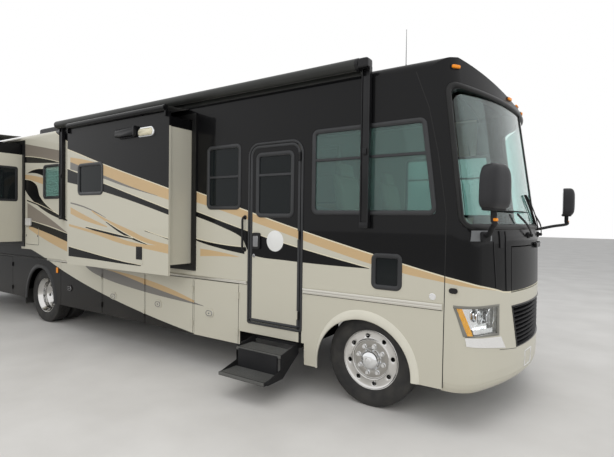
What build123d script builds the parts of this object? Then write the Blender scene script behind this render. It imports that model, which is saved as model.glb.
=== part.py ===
from build123d import *
import math
import os
from functools import lru_cache

# A motorhome: an integral coach body with three slide-out rooms on a front-engined truck chassis.
# Millimetres. X forward, Y to the left, Z up. The origin is on the ground under the middle of the
# box round the whole vehicle. Places along X in the tables are counted from the front axle.

# Overall size
BODY_LENGTH = 11150
BODY_WIDTH = 2566
FRONT_OVERHANG = 1310
WHEELBASE = 6147
MIRROR_LEAD = 230
LADDER_REACH = 110
FRONT_AXLE_X = (BODY_LENGTH + MIRROR_LEAD) / 2 - MIRROR_LEAD - FRONT_OVERHANG
REAR_FACE_X = -(BODY_LENGTH + MIRROR_LEAD) / 2 + LADDER_REACH
HALF_WIDTH = BODY_WIDTH / 2
RIGHT = -1
LEFT = 1

# Clearances
SEAT_GAP = 0.3
MOVING_GAP = 6
DOOR_GAP = 6

# Body shell
WALL = 45
SKIRT = 25
SKIRT_BOTTOM = 380
FLOOR_BOTTOM = 1100
FLOOR_THICKNESS = 60
FLOOR_TOP = FLOOR_BOTTOM + FLOOR_THICKNESS
ROOF_EDGE_Z = 3250
ROOF_CROWN = 90
ROOF_EDGE_RADIUS = 80
ROOF_THICKNESS = 50
ROOF_SPRING_Z = ROOF_EDGE_Z - ROOF_EDGE_RADIUS
CAP_SHELL = 40
CAP_BOTTOM = 370
REAR_CAP_DEPTH = 330
REAR_CORNER_RADIUS = 140
REAR_SEAM_X = REAR_FACE_X + REAR_CAP_DEPTH
BODY_TOP = ROOF_EDGE_Z + ROOF_CROWN

# Front cap: plan arcs, and a table of level sections as (height, reach from front axle, tuck in)
NOSE_ARC_RADIUS = 2570
NOSE_CORNER_RADIUS = 230
NOSE_BACK = 300
NOSE_SECTIONS = [
    (CAP_BOTTOM, FRONT_OVERHANG - 48, 26),
    (395, FRONT_OVERHANG - 24, 12),
    (440, FRONT_OVERHANG - 9, 3),
    (520, FRONT_OVERHANG - 3, 0),
    (1150, FRONT_OVERHANG, 0),
    (1700, FRONT_OVERHANG - 10, 0),
    (3030, FRONT_OVERHANG - 210, 0),
    (3400, FRONT_OVERHANG - 268, 0),
]
# Side view of the joint between walls and front cap, as (place, height)
CAP_SEAM = [(751, 300), (758, 1890), (678, 2420), (591, 2820), (440, ROOF_SPRING_Z + 10), (440, 3500)]
# Brow over the windshield: start on the roof, point on the arc, end at the glass
BROW_START = (420, BODY_TOP + 5)
BROW_MIDDLE = (806, 3252)
BROW_END = (1112, 3000)

# Windshield, as side-view corners that wrap round both front corners: (place, height)
GLASS_OUTLINE = [(872, 1765), (1500, 1765), (1500, 2975), (728, 2975)]
GASKET_WIDTH = 42
GASKET_PROUD = 9
GLASS_DEPTH = 8
GLASS_THICKNESS = 12
CENTRE_SEAM = 16
WINDSHIELD_CORNER = 100

# Front: grille as (half width at head, half width at foot, foot, head), with its level blades
GRILLE = (740, 620, 670, 1072)
BLADE_COUNT = 7
BLADE = 26
BLADE_DEPTH = 46
# Headlamp as (rear at head, rear at foot, head, foot, inner reach), with two round lamps in it
HEADLAMP = (829, 930, 1100, 845, 950)
HEADLAMP_SET_BACK = 26
TURN_STRIP = 48
ROUND_LAMPS = [(1018, 60), (1132, 48)]
# Hood lid under the windshield, hinged at its head
HOOD_HALF = 750
HOOD_FOOT = 1190
HOOD_HEAD = 1610
HOOD_PANEL = 12
HOOD_GAP = 10
HOOD_HINGE_HALF = 150
HOOD_PIN_LEAD = 12
HOOD_PIN_Z = HOOD_HEAD + 8
HOOD_PIN_RADIUS = 3
HOOD_KNUCKLE_RADIUS = 6.5

# Rear: bumper as (foot, head, inset from the sides), and tail lamps as (inner reach, outer reach, foot, head)
BUMPER_PROUD = 55
REAR_BUMPER = (400, 640, 120)
BUMPER_ROUND = 30
TAIL_LAMP = (1010, 1150, 820, 1260)
CLEARANCE_Y = (-1000, -170, 0, 170, 1000)
CLEARANCE_HALF = 45
CLEARANCE_PROUD = 22
CLEARANCE_FRONT = (3130, 3166)
CLEARANCE_REAR = (3100, 3136)
# Side marker as (place, height, radius, proud)
SIDE_MARKER = (830, 1235, 30, 14)

# Wheels and tyres
TYRE_RADIUS = 458
TYRE_WIDTH = 235
TYRE_BEAD_RADIUS = 287
RIM_RADIUS = TYRE_BEAD_RADIUS - SEAT_GAP
RIM_WIDTH = 200
FRONT_TYRE_Y = 1048
REAR_OUTER_TYRE_Y = 1090
TWIN_SPACING = 290
HUB_BORE = 42
NUT_CIRCLE = 275
NUT_COUNT = 8
HAND_HOLES = 8
KINGPIN_Y = 900
KINGPIN_RADIUS = 18
RIM_WELL = 255
HAND_HOLE_RING = 203
HAND_HOLE_RADIUS = 27
NUT_RADIUS = 17
NUT_HEIGHT = 26
# Pressed centres and hub caps as (radius, out) points; the front one bulges, the rear one is dished
FRONT_DISC = [(256, 45), (256, 56), (215, 80), (185, 98), (100, 98), (100, 86), (180, 86), (208, 68), (240, 36)]
FRONT_FACE = 98
FRONT_HUB = [(HUB_BORE, 40), (88, 40), (105, 86), (105, 104), (92, 140), (62, 152), (0, 158), (0, 92),
             (HUB_BORE, 92)]
REAR_DISC = [(250, -18), (212, -84), (180, -137), (100, -137), (100, -147), (186, -147), (222, -90), (250, -36)]
REAR_FACE = -137
REAR_HUB = [(HUB_BORE, -260), (110, -260), (110, -60), (95, -30), (70, -16), (0, -10), (0, -80), (HUB_BORE, -80)]

# Wheel arches as (centre place, half length, top height)
FRONT_ARCH = (-50, 570, 920)
REAR_ARCH = (-WHEELBASE + 2, 525, 1025)
FLARE_WIDTH = 46
FLARE_PROUD = 22
MUD_FLAP = (-6765, -6755, 700, 1240, 250)

# Windows in the walls as (side, rear, front at foot, front at head, foot, head)
WALL_WINDOWS = [
    (RIGHT, -614, 675, 561, 1884, 2734),
    (LEFT, -614, 675, 561, 1884, 2734),
    (RIGHT, 70, 360, 360, 1190, 1515),
    (LEFT, 70, 360, 360, 1190, 1515),
    (RIGHT, -2135, -1600, -1600, 1938, 2682),
    (RIGHT, -6060, -5530, -5530, 2120, 2680),
]
WINDOW_CORNER = 45
WINDOW_FRAME = 24
WINDOW_PROUD = 7
PANE = 8

# Rolled patio awning: its ends and height, and the feet of its arms as (place, foot)
AWNING = (-5470, -70, 3288)
AWNING_RADIUS = 62
AWNING_ARMS = [(0, 1754), (-5400, 1780)]
AWNING_ARM_HALF = 45

# Grab handle beside the door as (place, foot, head, standoff, radius)
GRAB_HANDLE = (-1525, 1470, 1850, 45, 13)

# Mirror heads as (side, middle place, toe-in in degrees), and their size
MIRRORS = [(RIGHT, 1183, 24), (LEFT, 1470, 6)]
MIRROR_SIZE = (125, 236, 345)
MIRROR_MIDDLE = (1500, 2096)
MIRROR_ROOT = (1010, 1150, 1690)
MIRROR_ARM = 24

# Fittings on the right front room's outer face as (rear, front, foot, head, proud)
ROOM_VENT = (-3360, -2975, 2862, 2938, 42)
ROOM_LAMP = (-2950, -2650, 2850, 2925, 46)
ROOM_HATCH = (-3300, -2855, 1245, 1480, 5)
# Small hatches in the right wall as (rear, front, foot, head, proud)
WALL_HATCHES = [(-6690, -6350, 1200, 1450, 6), (-6575, -6465, 1420, 1520, 30)]
HATCH_CORNER = 20

# Wheel wells: how far they clear the arch, their inner wall, and the sheet
WELL_GROW = 45
WELL_SHEET = 5
WELL_INNER = (640, 650)
WELL_FOOT = 520
WELL_WALL_FOOT = 670
WELL_SHOULDER = 260

# Cab: dashboard profile as (place, height), steering wheel, and seats as (place, side middle)
DESK = [(660, 1160), (690, 1160), (800, 1400), (830, 1700), (480, 1700), (420, 1600), (470, 1450)]
DESK_GAP = 110
STEERING = (225, 560, 1655)
STEERING_TILT = -62
STEERING_RADIUS = 215
SEAT_PLACE = -290
SEAT_SIDES = (-600, 600)

# Roof: air conditioners by their rear end, vents by their middle, and the aerial as (place, side, head)
AIR_CONDITIONERS = (-8390, -3000)
AIR_CONDITIONER = [(1140, 700, 3290, 570), (1120, 680, 3560, 570), (860, 500, 3690, 590)]
ROOF_VENTS = (-9200, -5200)
ROOF_VENT = (410, 3430)
AERIAL = (258, -1000, 3670)

# Ladder: its two rails, its ends, and the pitch of its rungs
LADDER_Y = (560, 960)
LADDER_ENDS = (900, 3250)
LADDER_STANDOFFS = (1000, 1900, 2900)
LADDER_RUNGS = 8
LADDER_PITCH = 300
LADDER_TUBE = 14

# Entry door as (rear, front, foot, head) of its frame, and its window
DOOR_FRAME = (-1475, -733, 645, 2680)
DOOR_FRAME_WIDTH = 26
DOOR_CORNER = 150
DOOR_WINDOW = (-1355, -850, 1850, 2550)
DOOR_LEAF = 42
DOOR_HANDLE = (-1385, -1315, 1520, 1640)
HINGE_STANDOFF = 21
DOOR_HINGES = (820, 1660, 2480)
DOOR_KNUCKLE = 90
DOOR_KNUCKLE_RADIUS = 10
DOOR_PIN_RADIUS = 5

# Slide-out rooms as (name, side, rear, front, room foot, room head, face foot, face head, depth)
SLIDES = [
    ("right_front_slide", RIGHT, -4580, -2410, 1262, 3030, 1140, 3080, 375),
    ("right_rear_slide", RIGHT, -9200, -6785, 1370, 3095, 1300, 3140, 750),
    ("left_slide", LEFT, -8900, -1730, 1262, 3030, 1140, 3080, 750),
]
SLIDE_SHELL = 38
SLIDE_FACE = 28
SLIDE_FACE_LAP = 25
SLIDE_OPENING_GAP = 15
SEAL_WIDTH = 72
SEAL_THICKNESS = 20
# Windows in the outer faces as (room, rear, front, foot, head)
SLIDE_WINDOWS = [
    ("right_front_slide", -4320, -3720, 2130, 2560),
    ("left_slide", -2700, -2000, 2130, 2680),
    ("left_slide", -5000, -3700, 2130, 2680),
    ("left_slide", -8000, -7200, 2130, 2680),
]
# Windows in the end walls of the deep right room as (inner reach, outer reach, foot, head)
END_WINDOW = (85, 640, 2080, 2690)
TOPPER_RADIUS = 38
TOPPER_FABRIC = 3
TOPPER_OUT = 16

# Baggage doors as (name, side, rear, front)
BAY_DOORS = [
    ("right_bay_door_1", RIGHT, -2360, -1600),
    ("right_bay_door_2", RIGHT, -3320, -2360),
    ("right_bay_door_3", RIGHT, -4320, -3320),
    ("right_bay_door_4", RIGHT, -5500, -4320),
    ("right_bay_door_5", RIGHT, -8150, -7150),
    ("left_bay_door_1", LEFT, -2360, -1600),
    ("left_bay_door_2", LEFT, -3320, -2360),
    ("left_bay_door_3", LEFT, -4320, -3320),
    ("left_bay_door_4", LEFT, -5500, -4320),
]
BAY_DOOR_HEAD = 1078
BAY_MULLION = 9
BAY_DEPTH = 680
BAY_FOOT = 402
BAY_SHEET = 8
BAY_HINGES = (520, 940)
BAY_LATCH_IN = 280
BAY_LATCH_ENDS = (665, 735)
PIN_RADIUS = 4
BAY_PIN_OUT = 11
KNUCKLE_RADIUS = 8
KNUCKLE_LENGTH = 60

# Chassis
RAIL_OUTER_Y = 432.5
RAIL_WIDTH = 76
RAIL_TOP = 980
RAIL_DEPTH = 213
RAIL_WALL = 9
RAIL_FRONT = 1010
BEAM_WIDTH = 50
SHORT_BEAM = 560
BEAM_PLACES = [1010, -705, -1560, -2360, -3320, -4320, -5500, -6760, -7150, -8150, -9250]
CROSS_PLACES = [950, -1400, -2900, -4600, -5650, -6900, -9100]
RECEIVER_INNER = 51
RECEIVER_OUTER = 63
RECEIVER_LENGTH = 300
RECEIVER_Z = 330
HITCH_PIN_IN = 65
HITCH_PIN_RADIUS = 8

# Leaf springs as (eye height, bow, leaf), and each axle's as (half length, reach, width)
SPRING_LEAF = (700, 175, 42)
FRONT_SPRING = (690, 460, 70)
REAR_SPRING = (720, 480, 80)
# Front axle beam, half of its outline as (reach, height over the axle), from its middle's foot round
AXLE_BEAM = [(620, -150), (780, -60), (KINGPIN_Y, -35), (KINGPIN_Y, 35), (770, 20), (600, -60), (430, -62)]
BEAM_HALF = 38
AXLE_TUBE = 62
DIFFERENTIAL = 190
BRAKE_PLATE = 200
FRONT_BRAKE_PLATE = 185
# Steering knuckle: lug radius, thickness, and the heights that its lugs start at
LUG_RADIUS = 36
LUG_THICKNESS = 34
KNUCKLE_HALF = 78

# Engine block as (rear, front, half width, foot, head), its mounts, gearbox and propeller shaft
ENGINE = (-160, 760, 270, 500, 965)
ENGINE_MOUNTS = (240, 340, 740, 900)
GEARBOX = (-1050, -150, 110, 550, 730)
SHAFT_Z = 620
SHAFT_RADIUS = 42
FUEL_TANK = (-8950, -7400, 470, 860)
TANK_ROUND = 50
EXHAUST_ROUTE = [(-160, 235, 670), (-420, 235, 670), (-700, 290, 670), (-2400, 290, 670), (-3200, 290, 670),
                 (-6900, 270, 690), (-7120, 520, 670), (-7120, 1200, 520)]
EXHAUST_PIPE = 32
SILENCER = 95

# Stairs inside the entry door
STAIR_INNER = 600
STAIR_SHEET = 15

# Entry step, deployed: treads as (inner reach, outer reach, height), from the middle of the body
STEP_REAR = -1390
STEP_FRONT = -790
STEP_TREADS = [(1300, 1555, 450), (1560, 1820, 250)]
STEP_PLATE = 6
STEP_RECESS = (-1585, -694, 535)


def place(x):
    """A place counted from the front axle, in the vehicle's own frame."""
    return FRONT_AXLE_X + x


def block(x0, x1, y0, y1, z0, z1):
    size = Box(abs(x1 - x0), abs(y1 - y0), abs(z1 - z0))
    return Pos((x0 + x1) / 2, (y0 + y1) / 2, (z0 + z1) / 2) * size


def side_block(side, x0, x1, reach0, reach1, z0, z1):
    """A block on one side of the vehicle, with reaches counted outwards from the middle."""
    return block(x0, x1, side * reach0, side * reach1, z0, z1)


def side_prism(side, points, reach0, reach1, radius=0):
    """A side-view outline of (place, height) points, pushed out from one reach to the next."""
    corners = [Vector(place(x), side * reach0, z) for x, z in points]
    face = Face(Wire.make_polygon(corners))
    if radius:
        face = face.fillet_2d(radius, face.vertices())
    return Solid.extrude(face, Vector(0, side * (reach1 - reach0), 0))


def rectangle(rear, front, foot, head):
    return [(rear, foot), (front, foot), (front, head), (rear, head)]


def inset(corners, amount):
    """A four-cornered outline moved in by the same amount on all sides; rear foot corner first."""
    (x0, z0), (x1, _), (x2, z2), (x3, _) = corners
    return [(x0 + amount, z0 + amount), (x1 - amount, z0 + amount),
            (x2 - amount, z2 - amount), (x3 + amount, z2 - amount)]


def rod(start, end, radius):
    start, end = Vector(*start), Vector(*end)
    return Solid.make_cylinder(radius, (end - start).length, Plane(origin=start, z_dir=end - start))


def fused(shapes):
    solids = [solid for shape in shapes for solid in shape.solids()]
    return solids[0].fuse(*solids[1:]) if len(solids) > 1 else solids[0]


def common(shape, other):
    """The space that two shapes share, as one shape."""
    found = [part for solid in shape.solids() for part in (solid.intersect(other) or [])]
    return gathered(found)


def gathered(shapes):
    """All the solids of some shapes as one shape."""
    solids = [solid for shape in shapes for solid in shape.solids()]
    return solids[0] if len(solids) == 1 else Compound(solids)


def turned(outlines, side, reach):
    """Rings and discs joined about a wheel's axis; outlines hold (radius, distance out) points."""
    faces = []
    for points in outlines:
        corners = [Vector(0, side * (reach + out), radius) for radius, out in points]
        faces.append(Face(Wire.make_polygon(corners)))
    merged = faces[0].fuse(*faces[1:]).clean() if len(faces) > 1 else faces[0]
    rings = [Solid.revolve(face, 360, Axis.Y) for face in merged.faces()]
    return Pos(0, 0, TYRE_RADIUS) * gathered(rings)


def save(shape, node):
    export_step(shape, f"parts/{node}.step")


def body_section(inward, x, foot):
    """The body's cross-section with its crowned roof, as a face across the vehicle at x."""
    half = HALF_WIDTH - inward
    edge = ROOF_EDGE_Z - inward
    radius = ROOF_EDGE_RADIUS - inward * 0.6
    crown = BODY_TOP - inward
    bend = radius * (1 - math.sqrt(0.5))
    points = {
        "foot": Vector(x, half, foot),
        "spring": Vector(x, half, edge - radius),
        "bend": Vector(x, half - bend, edge - bend),
        "shoulder": Vector(x, half - radius, edge),
        "crown": Vector(x, 0, crown),
    }
    other = {name: Vector(x, -point.Y, point.Z) for name, point in points.items()}
    edges = [
        Edge.make_line(points["foot"], points["spring"]),
        Edge.make_three_point_arc(points["spring"], points["bend"], points["shoulder"]),
        Edge.make_three_point_arc(points["shoulder"], points["crown"], other["shoulder"]),
        Edge.make_three_point_arc(other["shoulder"], other["bend"], other["spring"]),
        Edge.make_line(other["spring"], other["foot"]),
        Edge.make_line(other["foot"], points["foot"]),
    ]
    return Face(Wire(edges))


def body_bar(inward, x0, x1, foot):
    return Solid.extrude(body_section(inward, x0, foot), Vector(x1 - x0, 0, 0))


def nose_section(height, reach, tuck, inward):
    """A level outline of the front: two straight sides, two corner arcs and one wide front arc."""
    half = HALF_WIDTH - tuck - inward
    wide = NOSE_ARC_RADIUS - inward
    corner = NOSE_CORNER_RADIUS - inward
    turn = math.asin((half - corner) / (wide - corner))
    wide_x = place(reach) - inward - wide
    corner_x = wide_x + (wide - corner) * math.cos(turn)
    corner_y = half - corner
    halfway = (turn + math.pi / 2) / 2
    back = place(NOSE_BACK)

    def arc_point(angle, sign):
        return Vector(corner_x + corner * math.cos(angle), sign * (corner_y + corner * math.sin(angle)), height)

    join_right, join_left = arc_point(turn, RIGHT), arc_point(turn, LEFT)
    side_right, side_left = arc_point(math.pi / 2, RIGHT), arc_point(math.pi / 2, LEFT)
    back_right, back_left = Vector(back, -half, height), Vector(back, half, height)
    return Wire([
        Edge.make_line(back_right, side_right),
        Edge.make_three_point_arc(side_right, arc_point(halfway, RIGHT), join_right),
        Edge.make_three_point_arc(join_right, Vector(wide_x + wide, 0, height), join_left),
        Edge.make_three_point_arc(join_left, arc_point(halfway, LEFT), side_left),
        Edge.make_line(side_left, back_left),
        Edge.make_line(back_left, back_right),
    ])


def brow_bar(inward):
    """Everything below the brow's curve in side view, as wide as the vehicle and more."""
    reach = BODY_WIDTH
    foot = CAP_BOTTOM - 100
    front = place(FRONT_OVERHANG + 300)

    def at(point):
        return Vector(place(point[0]) - inward, -reach, point[1] - inward)

    back = place(NOSE_BACK) - 200
    start, middle, end = at(BROW_START), at(BROW_MIDDLE), at(BROW_END)
    edges = [
        Edge.make_line(Vector(back, -reach, foot), Vector(back, -reach, start.Z)),
        Edge.make_line(Vector(back, -reach, start.Z), start),
        Edge.make_three_point_arc(start, middle, end),
        Edge.make_line(end, Vector(front, -reach, end.Z)),
        Edge.make_line(Vector(front, -reach, end.Z), Vector(front, -reach, foot)),
        Edge.make_line(Vector(front, -reach, foot), Vector(back, -reach, foot)),
    ]
    return Solid.extrude(Face(Wire(edges)), Vector(0, 2 * reach, 0))


@lru_cache(maxsize=None)
def nose_form(inward):
    """The whole front of the body as one closed form, its faces moved in by a distance."""
    sections = [nose_section(height, reach, tuck, inward) for height, reach, tuck in NOSE_SECTIONS]
    form = Solid.make_loft(sections, True)
    form = common(form, body_bar(inward, place(NOSE_BACK) - 50, place(FRONT_OVERHANG + 100), CAP_BOTTOM - 50))
    return common(form, brow_bar(inward))


def ahead_of_seam():
    points = CAP_SEAM + [(1800, CAP_SEAM[-1][1]), (1800, CAP_SEAM[0][1])]
    return side_prism(RIGHT, points, -BODY_WIDTH, BODY_WIDTH)


def rear_form(inward):
    """The rear of the body: a flat back with rounded upright corners under the roof's section."""
    half = HALF_WIDTH - inward
    radius = REAR_CORNER_RADIUS - inward
    back = REAR_FACE_X + inward
    front = REAR_SEAM_X + (100 if inward else 0)
    face = Face(Wire.make_polygon([
        Vector(front, -half, CAP_BOTTOM), Vector(back, -half, CAP_BOTTOM),
        Vector(back, half, CAP_BOTTOM), Vector(front, half, CAP_BOTTOM)]))
    rear_corners = [vertex for vertex in face.vertices() if abs(vertex.X - back) < 1]
    face = face.fillet_2d(radius, rear_corners)
    form = Solid.extrude(face, Vector(0, 0, BODY_TOP - CAP_BOTTOM + 50))
    return common(form, body_bar(inward, back - 50, front, CAP_BOTTOM - 50))


def arch_outline(arch, grow=0):
    """A wheel arch in side view: straight legs and a round head, as a face in the plane y = 0."""
    centre, half, top = arch
    half, top = half + grow, top + grow
    shoulder = top - 0.62 * half
    foot = SKIRT_BOTTOM - 60
    bend = 0.83
    edges = [
        Edge.make_line(Vector(place(centre - half), 0, foot), Vector(place(centre - half), 0, shoulder)),
        Edge.make_three_point_arc(
            Vector(place(centre - half), 0, shoulder),
            Vector(place(centre - half * (1 - 0.28)), 0, shoulder + (top - shoulder) * bend),
            Vector(place(centre - half * 0.42), 0, top)),
        Edge.make_line(Vector(place(centre - half * 0.42), 0, top), Vector(place(centre + half * 0.42), 0, top)),
        Edge.make_three_point_arc(
            Vector(place(centre + half * 0.42), 0, top),
            Vector(place(centre + half * (1 - 0.28)), 0, shoulder + (top - shoulder) * bend),
            Vector(place(centre + half), 0, shoulder)),
        Edge.make_line(Vector(place(centre + half), 0, shoulder), Vector(place(centre + half), 0, foot)),
        Edge.make_line(Vector(place(centre + half), 0, foot), Vector(place(centre - half), 0, foot)),
    ]
    return Face(Wire(edges))


def arch_prism(side, arch, reach0, reach1, grow=0):
    face = Pos(0, side * reach0, 0) * arch_outline(arch, grow)
    return Solid.extrude(face, Vector(0, side * (reach1 - reach0), 0))


def window_unit(side, corners, plane, thickness, radius=WINDOW_CORNER):
    """A framed window for a wall whose outer face is at plane: a frame with a recessed pane."""
    outer = inset(corners, SEAT_GAP)
    opening = inset(corners, WINDOW_FRAME)
    unit = side_prism(side, outer, plane - thickness + 2, plane + WINDOW_PROUD, radius)
    outside = side_prism(side, opening, plane - 6, plane + WINDOW_PROUD + 5, radius * 0.6)
    inside = side_prism(side, opening, plane - thickness, plane - 6 - PANE, radius * 0.6)
    return unit.cut(outside, inside)


def slide_row(name):
    return next(row for row in SLIDES if row[0] == name)


def slide_opening(row):
    _, _, rear, front, foot, head = row[:6]
    gap = SLIDE_OPENING_GAP
    return rectangle(rear - gap, front + gap, foot - gap, head + gap)


def make_front_cap():
    shell = nose_form(0).cut(nose_form(CAP_SHELL))
    shell = shell.cut(block(place(NOSE_BACK) - 60, place(FRONT_OVERHANG) - 150, -HALF_WIDTH + CAP_SHELL,
                            HALF_WIDTH - CAP_SHELL, CAP_BOTTOM - 10, CAP_BOTTOM + CAP_SHELL + 10))
    shell = common(shell, ahead_of_seam())
    shell = shell.cut(side_prism(RIGHT, GLASS_OUTLINE, -BODY_WIDTH, BODY_WIDTH, WINDSHIELD_CORNER))
    shell = shell.cut(grille_cutter(0), *[headlamp_cutter(side, 0) for side in (RIGHT, LEFT)])
    shell = shell.cut(hood_block(0))
    x, z = hood_pin()
    lugs = [hood_lug(sign) for sign in (-1, 1)]
    pin = rod((x, -HOOD_HINGE_HALF, z), (x, HOOD_HINGE_HALF, z), HOOD_PIN_RADIUS)
    return fused([shell, pin] + lugs)


def hood_block(amount):
    """The hood lid's opening, cut straight back through the front."""
    return block(place(FRONT_OVERHANG) - 200, place(FRONT_OVERHANG) + 100, -HOOD_HALF + amount,
                 HOOD_HALF - amount, HOOD_FOOT + amount, HOOD_HEAD - amount)


def hood_pin():
    """Place and height of the hood's hinge pin, just ahead of the front's middle."""
    return place(FRONT_OVERHANG) + HOOD_PIN_LEAD, HOOD_PIN_Z


def hood_lug(sign):
    """A lug that holds one end of the hood's pin, standing on the front above the lid."""
    x, z = hood_pin()
    y0, y1 = sign * (HOOD_HINGE_HALF - 14), sign * HOOD_HINGE_HALF
    ring = rod((x, y0, z), (x, y1, z), HOOD_KNUCKLE_RADIUS)
    foot = block(x - 40, x, y0, y1, z + 1, z + 14)
    return ring.fuse(foot.cut(nose_form(CAP_SHELL / 2)))


def make_hood():
    """The curved hood lid with the knuckle of its hinge in the middle of its head."""
    lid = common(nose_form(0).cut(nose_form(HOOD_PANEL)), hood_block(HOOD_GAP))
    x, z = hood_pin()
    half = HOOD_HINGE_HALF - 14 - MOVING_GAP / 3
    knuckle = rod((x, -half, z), (x, half, z), HOOD_KNUCKLE_RADIUS)
    root = block(x - 34, x + 4, -half, half, z - 40, HOOD_HEAD - HOOD_GAP).cut(nose_form(HOOD_PANEL / 2))
    strap = block(x - 34, x + 4, -half, half, z - 40, z - HOOD_PIN_RADIUS - 1).cut(nose_form(-2))
    bore = rod((x, -half - 1, z), (x, half + 1, z), HOOD_PIN_RADIUS + SEAT_GAP)
    return fused([lid, root, strap, knuckle]).cut(bore)


def grille_cutter(amount):
    """The grille's opening, wider at its head, cut straight back through the front."""
    head_half, foot_half, foot, head = GRILLE
    x0 = place(FRONT_OVERHANG) - 330
    corners = [
        Vector(x0, -foot_half + amount, foot + amount), Vector(x0, foot_half - amount, foot + amount),
        Vector(x0, head_half - amount, head - amount), Vector(x0, -head_half + amount, head - amount)]
    return Solid.extrude(Face(Wire.make_polygon(corners)), Vector(400, 0, 0))


def headlamp_cutter(side, amount):
    """A headlamp's opening, which wraps round the corner with a slanted rear edge."""
    rear_head, rear_foot, head, foot, inner = HEADLAMP
    points = [(rear_foot + amount, foot + amount), (1500, foot + amount),
              (1500, head - amount), (rear_head + amount, head - amount)]
    return side_prism(side, points, inner + amount, BODY_WIDTH)


def make_windshield():
    panes = nose_form(GLASS_DEPTH).cut(nose_form(GLASS_DEPTH + GLASS_THICKNESS))
    outline = inset([GLASS_OUTLINE[0], GLASS_OUTLINE[1], GLASS_OUTLINE[2], GLASS_OUTLINE[3]],
                    GASKET_WIDTH + SEAT_GAP)
    panes = common(panes, side_prism(RIGHT, outline, -BODY_WIDTH, BODY_WIDTH, WINDSHIELD_CORNER - 30))
    seam = block(place(500), place(1600), -CENTRE_SEAM / 2 - SEAT_GAP, CENTRE_SEAM / 2 + SEAT_GAP, 1500, 3200)
    return panes.cut(seam)


def make_gasket():
    band = nose_form(-GASKET_PROUD).cut(nose_form(CAP_SHELL))
    outer = inset(GLASS_OUTLINE, SEAT_GAP)
    inner = inset(GLASS_OUTLINE, GASKET_WIDTH)
    whole = common(band, side_prism(RIGHT, outer, -BODY_WIDTH, BODY_WIDTH, WINDSHIELD_CORNER))
    ring = whole.cut(side_prism(RIGHT, inner, -BODY_WIDTH, BODY_WIDTH, WINDSHIELD_CORNER - 30))
    bar = common(whole, block(place(500), place(1600), -CENTRE_SEAM / 2, CENTRE_SEAM / 2, 1500, 3200))
    return ring.fuse(bar)


def make_grille():
    """Seven level blades on a rear plate, framed by their ends, following the front's arc."""
    outline = grille_cutter(SEAT_GAP)
    plate = common(nose_form(BLADE_DEPTH).cut(nose_form(BLADE_DEPTH + 12)), outline)
    band = common(nose_form(4).cut(nose_form(BLADE_DEPTH + 4)), outline)
    head_half, foot_half, foot, head = GRILLE
    pitch = (head - foot) / BLADE_COUNT
    pieces = [plate]
    for index in range(BLADE_COUNT):
        z = foot + (index + 0.5) * pitch
        pieces.append(common(band, block(place(800), place(1500), -head_half, head_half,
                                         z - BLADE / 2, z + BLADE / 2)))
    return fused(pieces)


def make_side_wall(side):
    spring = ROOF_SPRING_Z
    outline = [(REAR_SEAM_X - FRONT_AXLE_X, FLOOR_BOTTOM), (900, FLOOR_BOTTOM), (900, spring),
               (REAR_SEAM_X - FRONT_AXLE_X, spring)]
    wall = side_prism(side, outline, HALF_WIDTH - WALL, HALF_WIDTH).cut(ahead_of_seam())
    cutters = []
    for row_side, rear, front, front_head, foot, head in WALL_WINDOWS:
        if row_side == side:
            corners = [(rear, foot), (front, foot), (front_head, head), (rear, head)]
            cutters.append(side_prism(side, corners, HALF_WIDTH - 2 * WALL, HALF_WIDTH + WALL, WINDOW_CORNER))
    for row in SLIDES:
        if row[1] == side:
            cutters.append(side_prism(side, slide_opening(row), HALF_WIDTH - 2 * WALL, HALF_WIDTH + WALL))
    if side == RIGHT:
        cutters.append(door_prism(DOOR_FRAME_WIDTH, HALF_WIDTH - 2 * WALL, HALF_WIDTH + WALL))
    return wall.cut(*cutters)


def door_prism(amount, reach0, reach1):
    """The entry door's outline with rounded head corners, moved in from the frame's outside."""
    rear, front, foot, head = DOOR_FRAME
    corners = inset(rectangle(rear, front, foot, head), amount)
    face = Face(Wire.make_polygon([Vector(place(x), RIGHT * reach0, z) for x, z in corners]))
    top = [vertex for vertex in face.vertices() if vertex.Z > head - amount - 1]
    face = face.fillet_2d(DOOR_CORNER - amount, top)
    return Solid.extrude(face, Vector(0, RIGHT * (reach1 - reach0), 0))


def make_roof():
    x0, x1 = REAR_SEAM_X, place(900)
    foot = FLOOR_TOP
    shell = body_bar(0, x0, x1, foot).cut(body_bar(ROOF_THICKNESS, x0 - 10, x1 + 10, foot - 10))
    below = block(x0 - 10, x1 + 10, -BODY_WIDTH, BODY_WIDTH, foot - 20, ROOF_SPRING_Z)
    return shell.cut(below, ahead_of_seam())


def make_rear_cap():
    shell = rear_form(0).cut(rear_form(CAP_SHELL))
    foot, head, inset_y = REAR_BUMPER
    rear = REAR_FACE_X - BUMPER_PROUD
    bumper = block(rear, REAR_FACE_X + 20, -HALF_WIDTH + inset_y, HALF_WIDTH - inset_y, foot, head)
    bumper = bumper.fillet(BUMPER_ROUND, [edge for edge in bumper.edges() if abs(edge.center().X - rear) < 1])
    lamps = [tail_lamp(side, 0) for side in (RIGHT, LEFT)]
    return shell.fuse(bumper).cut(*lamps)


def tail_lamp(side, amount):
    inner, outer, foot, head = TAIL_LAMP
    return side_block(side, REAR_FACE_X - 10, REAR_FACE_X + 14 - amount, inner + amount, outer - amount,
                      foot + amount, head - amount)


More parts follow.
